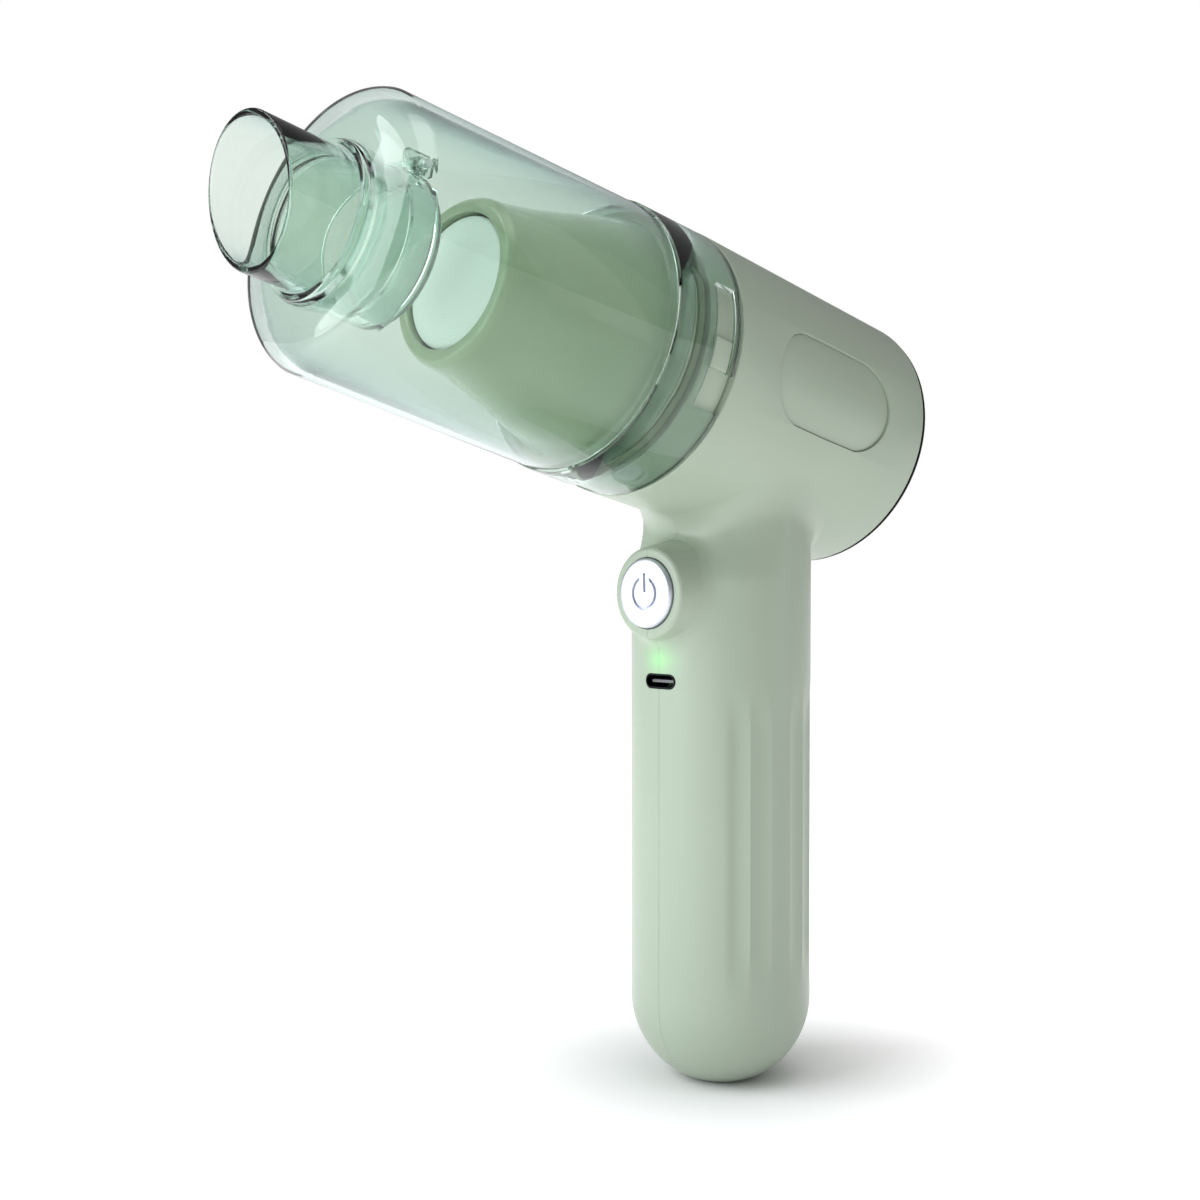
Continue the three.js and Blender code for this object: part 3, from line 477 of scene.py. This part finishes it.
def gripSolid(inset, steps):
    # the neck's rows are spun one apart and then moved to their places: ten for its hollow, ten for its flare
    ball = grip["radius"] - inset
    bottom = grip["footProud"] + inset
    low = math.asin((domeCentre - bottom) / ball)
    dome = [-low * (1 - i / 16) for i in range(17)]
    rows = [(0, bottom)] + [(ball * math.cos(a), domeCentre + ball * math.sin(a)) for a in dome]
    neck = grip["scoopStart"] + 100
    if not inset:
        fade = [i * grip["fluteFade"] / 7 for i in range(8)]
        rows += [(ball, grip["fluteLow"] + f) for f in fade]
        rows += [(ball, z) for z in (45, 60, 72)]
        rows += [(ball, grip["fluteHigh"] - grip["fluteFade"] + f) for f in fade]
        rows += [(ball, 95.5 + i) for i in range(20)]  # close together where the boss flows out of the grip
    rows += [(ball, neck + i) for i in range(31)]
    rows += [(0, neck + 31)]
    bm = spun(rows, None, steps, closed=False)
    for v in bm.verts:
        x, y, z = v.co
        angle = math.atan2(y, x)
        r = math.hypot(x, y)
        if r < 0.01:
            if z > neck:
                v.co = (0, 0, seam.z - housing["radius"] / 2)
            continue
        if z < neck - 1:
            r -= 0 if inset else fluteCut(angle, z)
        else:
            far, end, corner = neckEnd(angle)
            start = corner - grip["fillet"]
            share = (z - neck) / 20
            k = (z - neck - 20) / 10
            if k <= 0.001:
                z = grip["scoopStart"] + (start - grip["scoopStart"]) * share
                r = gripRadius(angle, z) - inset
            elif inset:
                z = start + k * 22
                r = neckRadius(angle) - inset
            else:
                r = neckRadius(angle) + grip["fillet"] * k * k
                z = (1 - k) ** 2 * start + 2 * k * (1 - k) * corner + k * k * end
                z += 0.35 * k ** 6
        x, y = r * math.cos(angle), r * math.sin(angle)
        if x < 0 and not inset:
            x -= bossSwell(x, y, z)
        v.co = (x, y, z)
    return bm


def bossSwell(x, y, z):
    # how far the grip rises to meet the side of the boss
    reach = math.hypot(y, z - bossHeight)
    slope = (boss["baseRadius"] - boss["radius"]) / (boss["face"] - boss["root"])
    meets = boss["radius"] + slope * (boss["face"] + x)  # radius of the boss's cone at this depth
    share = (meets + boss["flare"] - reach) / boss["flare"]
    return boss["flareRise"] * min(max(share, 0), 1.25) ** 2


def bossSolid():
    face, root = -boss["face"], -boss["root"]
    return placed(spun([(0, face), (boss["radius"], face), (boss["baseRadius"], root), (0, root)],
                       {1: boss["edge"]}, 144, closed=False, segments=6), buttonFrame)


pad = {"length": 40.0, "tall": 21.4, "centre": -33.2, "sunk": 0.55, "thick": 0.55, "edge": 0.12,
       "clearance": 0.12, "lip": 0.25}
pad["face"] = housing["radius"] - pad["sunk"]
pad["back"] = pad["face"] - pad["thick"]


def wrapped(bm, inner):
    # bends an upright prism round the barrel: X runs along it, Y round it, Z outwards from the inner radius
    for v in bm.verts:
        angle = v.co.y / housing["radius"]
        r = inner + v.co.z
        v.co = (r * math.sin(angle), -r * math.cos(angle), v.co.x)
    return bm


def padSolid(grow, inner, outer, way):
    bm = stadium(pad["length"] + 2 * grow, pad["tall"] + 2 * grow, 0, outer - inner, 20)
    for y in range(-9, 10, 2):
        bmesh.ops.bisect_plane(bm, geom=bm.verts[:] + bm.edges[:] + bm.faces[:], plane_co=(0, y, 0),
                               plane_no=(0, 1, 0))
    if not grow:
        top = [e for e in bm.edges if all(abs(v.co.z - outer + inner) < 1e-4 for v in e.verts)
               and e.calc_face_angle(0) > 1]
        bmesh.ops.bevel(bm, geom=top, offset=pad["edge"], offset_type="OFFSET", segments=4, profile=0.5,
                        affect="EDGES", material=-1, clamp_overlap=True)
    bmesh.ops.translate(bm, vec=(pad["centre"], 0, 0), verts=bm.verts)
    wrapped(bm, inner)
    if way > 0:
        bm = placed(bm, Matrix.Scale(-1, 4, (0, 1, 0)))
    bmesh.ops.triangulate(bm, faces=bm.faces)
    bmesh.ops.recalc_face_normals(bm, faces=bm.faces)
    return bm


def onPocketRim(edge):
    for v in edge.verts:
        offset = v.co - seam
        along = offset.dot(nose)
        if (abs((offset - nose * along).length - housing["radius"]) > 0.05
                or abs(along - pad["centre"]) > pad["length"] / 2 + 1 or abs(offset.y) < 20):
            return False
    return True


def barrelPlaced(bm):
    return placed(bm, barrelFrame)


def shells():
    body = gripSolid(0, 192)
    barrel = barrelPlaced(spun([(0, -housing["length"]), (housing["radius"], -housing["length"]),
                                (housing["radius"], 0), (0, 0)],
                               {1: housing["edge"], 2: housing["edge"]}, 192, closed=False))
    whole = carved(body, "UNION", barrel, bossSolid())
    hollows = [
        gripSolid(grip["wall"], 72),
        barrelPlaced(rod(housing["radius"] - housing["wall"], -housing["length"] - 1, 1, steps=120)),
        placed(rod(boss["hole"], -boss["face"] - 2, -12, steps=96), buttonFrame),
        placed(rod(boss["hole"] + 1.5, -boss["face"] + 2, -12, steps=96), buttonFrame),
        rod(grip["footRadius"] + 0.25, -1, grip["footTall"] + 0.3, steps=96),
        *[barrelPlaced(padSolid(pad["clearance"], pad["back"] - 0.1, housing["radius"] + 2.2, way))
          for way in (-1, 1)],
        placed(stadium(9.3, 3.5, -24, -12), usbFrame),
    ]
    whole = carved(whole, "DIFFERENCE", *hollows)
    softened(whole, pad["lip"], 50, 3, onPocketRim)
    for name, way in (("left", -1), ("right", 1)):
        half = whole.copy()
        cut = bmesh.ops.bisect_plane(half, geom=half.verts[:] + half.edges[:] + half.faces[:], dist=1e-5,
                                     plane_co=(0, way * housing["partingGap"], 0), plane_no=(0, -way, 0),
                                     clear_outer=True)
        rim = [g for g in cut["geom_cut"] if isinstance(g, bmesh.types.BMEdge)]
        bmesh.ops.triangle_fill(half, use_beauty=True, use_dissolve=True, edges=rim)
        bmesh.ops.recalc_face_normals(half, faces=half.faces)
        piece(half, f"{name}Shell", uprightFrame, shellFinish, "housing", [f"{name}_shell"], 28)
        piece(padSolid(0, pad["back"], pad["face"], way), f"{name}SidePad", barrelFrame, trimFinish, "housing",
              [f"{name}_side_pad"], 40)
    whole.free()


shells()
print("shells made")

# rear cap with its exhaust slots
cap = {"gap": 0.3, "shadowGap": 0.8, "behind": 1.0, "rim": 30.5, "plate": 2.2, "plug": 28.4, "plugWall": 2.0,
       "plugLong": 4.6, "slots": 18, "slotIn": 11.0, "slotOut": 24.5, "slotWide": 1.8, "shadowLineWide": 0.3}


def rearCap():
    # the cap's front is painted near-black as the shadow in the gap behind the shell
    capWithShadowLine = shadowLinedCap("sageCapShadowLine", housing["length"] + cap["shadowGap"] + cap["shadowLineWide"])
    back = -housing["length"] - cap["gap"] - cap["behind"]
    front = back + cap["plate"]
    rim = -housing["length"] - cap["shadowGap"]
    end = rim + cap["plugLong"]
    bore = cap["plug"] - cap["plugWall"]
    disc = spun([(0, front), (bore, front), (bore, end), (cap["plug"], end), (cap["plug"], rim),
                 (cap["rim"], rim), (cap["rim"], back), (0, back)], {5: 0.2, 6: 0.6}, 144, closed=False)
    slots = []
    for i in range(cap["slots"]):
        slot = stadium(cap["slotOut"] - cap["slotIn"], cap["slotWide"], back - 1, front + 1, 8)
        bmesh.ops.translate(slot, vec=((cap["slotOut"] + cap["slotIn"]) / 2, 0, 0), verts=slot.verts)
        slots.append(turned(slot, i * 360 / cap["slots"]))
    disc = carved(disc, "DIFFERENCE", combine(*slots))
    piece(disc, "rearCap", barrelFrame, capWithShadowLine, "housing", ["rear_cap"])


rearCap()

# power button
button = {"radius": 7.9, "proud": 1.2, "edge": 0.85, "dish": 0.25, "dishRim": 1.2, "flange": 1.2,
          "flangeBack": 21.3, "flangeFront": 22.5, "stemRadius": 2.0, "stemEnd": 18.5, "mark": 3.45,
          "markWide": 0.7, "markDeep": 0.6, "markGap": 1.5, "barStart": 0.3, "barReach": 1.1}


def powerButton():
    b = button
    front = -boss["face"] - b["proud"]
    flange = b["radius"] + b["flange"]
    knob = spun([(0, -b["stemEnd"]), (b["stemRadius"], -b["stemEnd"]), (b["stemRadius"], -b["flangeBack"]),
                 (flange, -b["flangeBack"]), (flange, -b["flangeFront"]), (b["radius"], -b["flangeFront"]),
                 (b["radius"], front), (b["radius"] - b["dishRim"], front), (0, front + b["dish"])],
                {6: b["edge"], 7: 0.3}, 128, closed=False, segments=6)
    half = b["markWide"] / 2
    floor = front + b["dish"] + b["markDeep"]
    arc = spun([(b["mark"] - half, front - 1), (b["mark"] + half, front - 1), (b["mark"] + half, floor),
                (b["mark"] - half, floor)], None, 64)
    arc = carved(arc, "DIFFERENCE", block((-b["markGap"], 0, front - 2), (b["markGap"], 6, floor + 1)))
    bar = block((-half, b["barStart"], front - 1), (half, b["mark"] + b["barReach"], floor))
    knob = carved(knob, "DIFFERENCE", arc, bar)
    piece(knob, "powerButton", buttonFrame, pearlFinish, "button", ["power_button"])


powerButton()

# charging socket, foot and screws
socket = {"width": 8.94, "tall": 3.26, "front": -20.7, "back": -13.5, "wall": 0.3, "deep": 6.2,
          "tongueHalf": 3.3, "tongueThin": 0.35, "tongueBack": 0.9}


def chargingSocket():
    can = stadium(socket["width"], socket["tall"], socket["front"], socket["back"])
    mouth = stadium(socket["width"] - 2 * socket["wall"], socket["tall"] - 2 * socket["wall"],
                    socket["front"] - 1, socket["front"] + socket["deep"])
    can = carved(can, "DIFFERENCE", mouth)
    wide, thin = socket["tongueHalf"], socket["tongueThin"]
    tongue = block((-wide, -thin, socket["front"] + socket["tongueBack"]),
                   (wide, thin, socket["front"] + socket["deep"] + 0.4), 0.12)
    shape = carved(can, "UNION", tongue)
    made = piece(shape, "chargingSocket", usbFrame, shadedSocketMetal, "housing", ["usb_port"])
    tongueFinish = glossPlastic("socketTongue", shade(0.34, 0.34, 0.35), shade(0.42, 0.42, 0.43), 0.4)
    made.data.materials.append(tongueFinish)
    for face in made.data.polygons:
        c = face.center / mm
        if abs(c.y) < wide + 0.02 and abs(c.z - usbHeight) < thin + 0.02:
            face.material_index = 1


chargingSocket()
# the foot's near-black rubber also stands in for the contact shadow under the base
foot = rod(grip["footRadius"], 0, grip["footTall"], 0.25, 96)
piece(foot, "footPad", uprightFrame, rubberAndContactShade, "housing", ["foot_pad"])


screwSizes = {"shank": 1.25, "point": 1.6, "head": 2.7, "headTall": 1.9, "shoulderDown": 0.7, "top": 1.9,
              "crossReach": 1.5, "crossHalf": 0.3, "crossDeep": 0.8}


def screw(node):
    # a pan-head cross screw, which lies along Y
    s = screwSizes
    centre, size = middle(node), span(node)
    low, high = centre.y - size.y / 2, centre.y + size.y / 2
    under = high - s["headTall"]
    body = spun([(0, low), (s["shank"], low + s["point"]), (s["shank"], under), (s["head"], under),
                 (s["head"], high - s["shoulderDown"]), (s["top"], high), (0, high)],
                {4: 0.3}, 40, closed=False)
    arms = [block((-x, -y, high - s["crossDeep"]), (x, y, high + 1))
            for x, y in ((s["crossReach"], s["crossHalf"]), (s["crossHalf"], s["crossReach"]))]
    body = carved(body, "DIFFERENCE", *arms)
    lying = Matrix(((1, 0, 0, centre.x), (0, 0, 1, 0), (0, -1, 0, centre.z), (0, 0, 0, 1)))
    piece(body, f"{node}Fine", lying, steelFinish, "housing", [node])


for node in ("shell_screw_1", "shell_screw_2", "shell_screw_3"):
    screw(node)
print("button, socket, foot and screws made")

# clear dust cup, bayonet ring and nozzle
cup = {"wall": 1.8, "length": 86.2, "frontRadius": 28.2, "backRadius": 30.0, "shoulder": 5.5, "face": 20.8,
       "socket": 14.2, "lip": 1.0, "nozzleDeep": 11.0, "intakeEnd": 70.0, "spigot": 29.2, "spigotBack": 13.5,
       "seam": 19.3}
ring = {"length": 19.0, "inner": 29.5, "outer": 30.7, "start": 0.4, "slotStart": -12.6, "slotEntry": 15.9,
        "slotRun": 35.4, "slotLow": 2.0, "slotHigh": 8.0, "lugs": 3}
tube = {"radius": 13.9, "wall": 1.3, "reach": 101.0, "slant": 16.0}


def shoulder(inset):
    # the rounded cone between the cup's side and its face
    start = cup["length"] - cup["shoulder"]
    points = []
    for i in range(13):
        k = i / 12
        begin, bend, end = (1 - k) ** 2, 2 * k * (1 - k), k * k
        r = begin * cup["frontRadius"] + bend * (cup["frontRadius"] - 1.4) + end * cup["face"]
        z = begin * start + bend * (cup["length"] - 1.2) + end * cup["length"]
        points.append((r - inset, z - inset))
    return points


def flapBore():
    bore = turned(rod(1.0, -8, 8, steps=32), 90, "X")
    return placed(bore, Matrix.Translation((flapPin.x, 0, flapPin.z)))


def dustCup():
    inner = shoulder(cup["wall"])[::-1]
    spigot, mouth, face = cup["spigot"], cup["socket"], cup["length"]
    step = face - cup["nozzleDeep"]
    points = [
        (spigot - 1, cup["spigotBack"]), (spigot, cup["spigotBack"]), (spigot, cup["seam"]),
        (cup["backRadius"], cup["seam"]), *shoulder(0),
        (mouth + 1.4, face), (mouth + 1.4, face + cup["lip"]), (mouth, face + cup["lip"]), (mouth, step),
        (mouth - 1.3, step), (mouth - 1.3, cup["intakeEnd"]), (mouth + 1.3, cup["intakeEnd"]),
        (mouth + 1.3, face - cup["wall"]), *inner,
        (cup["backRadius"] - cup["wall"] - 0.1, cup["seam"] + 4), (spigot - 1, cup["seam"]),
    ]
    lip = 4 + len(shoulder(0))
    rounding = {0: 0.2, 1: 0.3, 3: 0.3, lip: 0.5, lip + 1: 0.35, lip + 2: 0.35, lip + 5: 0.4, lip + 6: 0.4,
                lip + 7: 0.8}
    body = spun(points, rounding, 160)
    ears = [block((mouth + 0.5, y, flapPin.z - 1.6), (flapPin.x + 1.6, y + 1.6, cup["intakeEnd"] + 3), 0.3)
            for y in (-6.2, 4.6)]
    body = carved(carved(body, "UNION", *ears), "DIFFERENCE", flapBore())
    piece(body, "dustCup", barrelFrame, cupFinish, "cup", ["dust_cup"])


def sectorTool(inner, outer, start, end, low, high):
    # part of a tube, between two angles measured from the left-hand side upwards
    steps = max(2, round((end - start) / 1.5))
    bm = bmesh.new()
    corners = [bm.verts.new((0, -r, z)) for r, z in ((inner, low), (outer, low), (outer, high), (inner, high))]
    edges = [bm.edges.new((corners[i], corners[(i + 1) % 4])) for i in range(4)]
    face = bm.faces.new(corners)
    bmesh.ops.rotate(bm, cent=(0, 0, 0), matrix=Matrix.Rotation(math.radians(start), 3, "Z"), verts=bm.verts)
    swept = bmesh.ops.spin(bm, geom=[face], cent=(0, 0, 0), axis=(0, 0, 1), angle=math.radians(end - start),
                           steps=steps, use_merge=False)
    if not any(isinstance(g, bmesh.types.BMFace) for g in swept["geom_last"]):
        bm.faces.new([g for g in swept["geom_last"] if isinstance(g, bmesh.types.BMVert)])
    bmesh.ops.remove_doubles(bm, verts=bm.verts, dist=1e-5)
    bmesh.ops.recalc_face_normals(bm, faces=bm.faces)
    return bm


def bayonetRing():
    body = spun([(ring["inner"], ring["start"]), (ring["outer"], ring["start"]),
                 (ring["outer"] - 0.3, ring["length"]), (ring["inner"], ring["length"])],
                {1: 0.3, 2: 0.25}, 180)
    tools = []
    for i in range(ring["lugs"]):
        edge = ring["slotStart"] + i * 360 / ring["lugs"]
        tools.append(sectorTool(28, 32, edge - ring["slotEntry"], edge, -1, ring["slotHigh"]))
        tools.append(sectorTool(28, 32, edge - 1, edge + ring["slotRun"], ring["slotLow"], ring["slotHigh"]))
    body = carved(body, "DIFFERENCE", *tools)
    softened(body, 0.12, 50, 2)
    piece(body, "bayonetRing", barrelFrame, ringFinish, "cup", ["bayonet_ring"])


def nozzle():
    back = cup["length"] - cup["nozzleDeep"] + 0.3
    beyond = tube["reach"] + 12
    outer = tube["radius"]
    inner = outer - tube["wall"]
    body = spun([(inner, back), (outer, back), (outer, beyond), (inner, beyond)], {0: 0.3, 1: 0.3}, 144)
    slant = Matrix.Rotation(math.radians(-tube["slant"]), 3, "Y") @ Vector((0, 0, 1))
    cut = bmesh.ops.bisect_plane(body, geom=body.verts[:] + body.edges[:] + body.faces[:], dist=1e-5,
                                 plane_co=(0, 0, tube["reach"]), plane_no=slant, clear_outer=True)
    rim = [g for g in cut["geom_cut"] if isinstance(g, bmesh.types.BMEdge)]
    bmesh.ops.bridge_loops(body, edges=rim)
    bmesh.ops.recalc_face_normals(body, faces=body.faces)
    softened(body, 0.42, 50, 4, lambda e: all(v.co.z > tube["reach"] - 6 for v in e.verts))
    piece(body, "nozzle", barrelFrame, cupFinish, "nozzle", ["nozzle"])


dustCup()
bayonetRing()
nozzle()
print("dust cup, bayonet ring and nozzle made")

# collar, seal, filter housing, disc and flap
collar = {"bore": 25.4, "back": -2.1, "plug": 28.4, "seat": 0.3, "radius": 29.1, "length": 9.2,
          "lugWide": 12.6, "lugTall": 5.2, "lugOuter": 30.3, "lugPlay": 0.6}
filterBody = {"spigot": 25.1, "low": 3.0, "flange": 11.6, "flangeRadius": 27.9, "baseRadius": 26.8,
              "base": 18.5, "nose": 54.2, "noseRadius": 18.0, "mouth": 14.2, "wall": 1.5}


def bayonetCollar():
    c = collar
    body = spun([(c["bore"], c["back"]), (c["plug"], c["back"]), (c["plug"], c["seat"]),
                 (c["radius"], c["seat"]), (c["radius"], c["length"]), (c["bore"], c["length"])],
                {4: 0.3, 5: 0.3}, 144)
    low = (ring["slotLow"] + ring["slotHigh"] - c["lugTall"]) / 2
    start = ring["slotStart"] + c["lugPlay"]
    lugs = [softened(sectorTool(c["radius"] - 0.6, c["lugOuter"], start + turn, start + c["lugWide"] + turn,
                                low, low + c["lugTall"]), 0.25, 50, 3) for turn in (0, 120, 240)]
    piece(carved(body, "UNION", *lugs), "bayonetCollar", barrelFrame, trimFinish, "housing",
          ["bayonet_collar"])


seal = {"gap": 0.3, "tall": 1.8, "inner": 26.0, "outer": 27.9, "crest": 28.2}


def cupSeal():
    low = collar["length"] + seal["gap"]
    lip = low + seal["tall"]
    body = spun([(seal["inner"], low), (seal["outer"], low), (seal["crest"], (low + lip) / 2),
                 (seal["outer"], lip), (seal["inner"], lip)], {1: 0.2, 2: 0.3, 3: 0.2}, 144)
    piece(body, "cupSeal", barrelFrame, sealFinish, "housing", ["cup_seal"])


def bell(inset):
    # the filter housing's side, from its base to its nose
    base, top = filterBody["base"], filterBody["nose"] - 1.4
    points = []
    for i in range(21):
        k = i / 20
        share = smoothStep(-0.35, 1.1, k) * 1.06 - 0.06 * (1 - k)
        r = filterBody["baseRadius"] + (filterBody["noseRadius"] - filterBody["baseRadius"]) * share
        points.append((min(r, filterBody["baseRadius"]) - inset, base + (top - base) * k))
    return points


def filterHousing():
    f = filterBody
    inner = [p for p in bell(f["wall"])[::-1] if p[1] < f["nose"] - 4]
    points = [(f["spigot"], f["low"]), (f["spigot"], f["flange"]), (f["flangeRadius"], f["flange"]),
              (f["flangeRadius"], f["flange"] + 6), *bell(0), (f["noseRadius"] - 1.4, f["nose"]),
              (f["mouth"], f["nose"]), (f["mouth"], f["nose"] - 2.4), *inner,
              (f["spigot"] - f["wall"], f["flange"]), (f["spigot"] - f["wall"], f["low"])]
    front = 4 + len(bell(0))
    body = spun(points, {2: 0.25, 3: 0.3, 4: 0.6, front - 1: 0.5, front: 0.5, front + 1: 0.4}, 160)
    piece(body, "filterHousing", barrelFrame, filterFinish, "housing", ["filter_housing"])


felt = {"sunk": 1.1, "thick": 3.4, "radius": 13.9, "crown": 0.5, "bend": 9.0, "bendRise": 0.3}


def prefilterDisc():
    top = filterBody["nose"] - felt["sunk"]
    low = top - felt["thick"]
    body = spun([(0, low), (felt["radius"], low), (felt["radius"], top),
                 (felt["bend"], top + felt["bendRise"]), (0, top + felt["crown"])],
                {1: 0.4, 2: 0.8}, 96, closed=False)
    piece(body, "prefilterDisc", barrelFrame, feltFinish, "housing", ["prefilter_disc"])


def intakeFlap():
    front = cup["intakeEnd"] - 0.35
    disc = rod(cup["socket"] + 0.3, front - 1.1, front, 0.3, 96)
    knuckle = turned(rod(1.6, -4.2, 4.2, 0.3, 40), 90, "X")
    bmesh.ops.translate(knuckle, vec=(flapPin.x, 0, flapPin.z), verts=knuckle.verts)
    web = block((cup["socket"] - 1.5, -4, front - 1.05), (flapPin.x, 4, front - 0.05))
    body = carved(carved(disc, "UNION", web, knuckle), "DIFFERENCE", flapBore())
    piece(body, "intakeFlap", barrelFrame, flapFinish, "flap", ["intake_flap"])


bayonetCollar()
cupSeal()
filterHousing()
prefilterDisc()
intakeFlap()
print("collar, seal, filter and flap made")

# finishes of the inner pieces that keep their CAD shape
kept = {
    steelFinish: ["motor_can", "front_bearing", "rear_bearing", "motor_shaft", "flap_pin"],
    windingFinish: ["rotor_core"],
    magnetFinish: ["motor_magnets"],
    darkFinish: ["motor_end_cap", "fan_impeller", "fan_shroud", "power_switch", "switch_plunger"],
    rubberAndContactShade: ["motor_mount"],
    feltFinish: ["pleated_filter", "battery_pad"],
    filterFinish: ["filter_grid"],
    boardGreen: ["control_board"],
    cellFinish: ["battery_cell_front", "battery_cell_rear"],
    ledFinish: ["status_led"],
    redWire: ["battery_lead_red", "motor_lead_red"],
    blackWire: ["battery_lead_black", "motor_lead_black"],
}
for finish, nodes in kept.items():
    for node in nodes:
        mesh = frame["nodes"][node].data
        mesh.materials.clear()
        mesh.materials.append(finish)
print("inner pieces finished")

# floor, light and camera
studio = {"surround": 0.27, "floorGlow": 0.78, "glowStart": 0.01, "glowFull": 0.08, "key": 7.4, "fill": 0.4,
          "top": 1.2, "low": 0.35}


def floorMaterial():
    # paper with a little painted light of its own, which keeps it white out to the horizon; the light is left
    # off close to the object, which paints a darker patch round the base as shade
    r = Recipe("paleFloor", Roughness=0.8, Specular_IOR_Level=0.1, Emission_Strength=studio["floorGlow"])
    distance = r.node("ShaderNodeVectorMath", {"operation": "LENGTH"}, {0: r.place()}, "Value")
    share = ((distance - studio["glowStart"]) / (studio["glowFull"] - studio["glowStart"])).clamped()
    return r.feed(Base_Color=r.mix(r.noise(3, 2), (0.92, 0.92, 0.92, 1), (0.95, 0.95, 0.95, 1)),
                  Emission_Color=r.mix(share, (0, 0, 0, 1), (1, 1, 1, 1)))


floorMesh = bmesh.new()
bmesh.ops.create_circle(floorMesh, cap_ends=True, radius=14, segments=96)
floor = asObject(floorMesh, "floor")
floor.data.materials.append(floorMaterial())

world = bpy.data.worlds.new("studio")
world.use_nodes = True
nodes, links = world.node_tree.nodes, world.node_tree.links
path = nodes.new("ShaderNodeLightPath")
seen = nodes.new("ShaderNodeMath")
seen.operation = "MAXIMUM"
links.new(path.outputs["Is Camera Ray"], seen.inputs[0])
links.new(path.outputs["Is Transmission Ray"], seen.inputs[1])
level = nodes.new("ShaderNodeMapRange")
level.inputs["To Min"].default_value = studio["surround"]
links.new(seen.outputs[0], level.inputs["Value"])
links.new(level.outputs["Result"], nodes["Background"].inputs["Strength"])
nodes["Background"].inputs["Color"].default_value = (1, 1, 1, 1)
scene.world = world


def softbox(name, place, aim, size, power, colour=(1, 1, 1)):
    light = bpy.data.lights.new(name, "AREA")
    light.shape = "RECTANGLE"
    light.size, light.size_y = size
    light.energy = power
    light.color = colour
    made = bpy.data.objects.new(name, light)
    made.location = place
    made.rotation_euler = (Vector(aim) - Vector(place)).to_track_quat("-Z", "Y").to_euler()
    scene.collection.objects.link(made)


softbox("keyLight", (-0.75, 0.30, 0.50), (0, 0, 0.12), (0.7, 0.9), studio["key"], (0.93, 0.97, 1.0))
softbox("fillLight", (0.45, -0.70, 0.30), (0, 0, 0.12), (0.3, 0.8), studio["fill"])
softbox("topLight", (-0.1, -0.2, 0.9), (0, 0, 0.15), (0.5, 0.5), studio["top"])
softbox("lowLight", (-0.52, -0.08, 0.05), (-0.03, 0, 0.16), (0.5, 0.2), studio["low"])

lens = {"place": Vector((-278.1, -246.2, 119.8)) * mm, "azimuth": -44.09, "down": 1.22, "length": 47.21}
camera = bpy.data.cameras.new("camera")
camera.sensor_width = 36
camera.lens = lens["length"]
camera.clip_start = 0.01
eye = bpy.data.objects.new("camera", camera)
eye.location = lens["place"]
eye.rotation_euler = (pi / 2 - math.radians(lens["down"]), 0, math.radians(lens["azimuth"]))
scene.collection.objects.link(eye)
scene.camera = eye
scene.view_settings.view_transform = "Standard"
print("studio made")
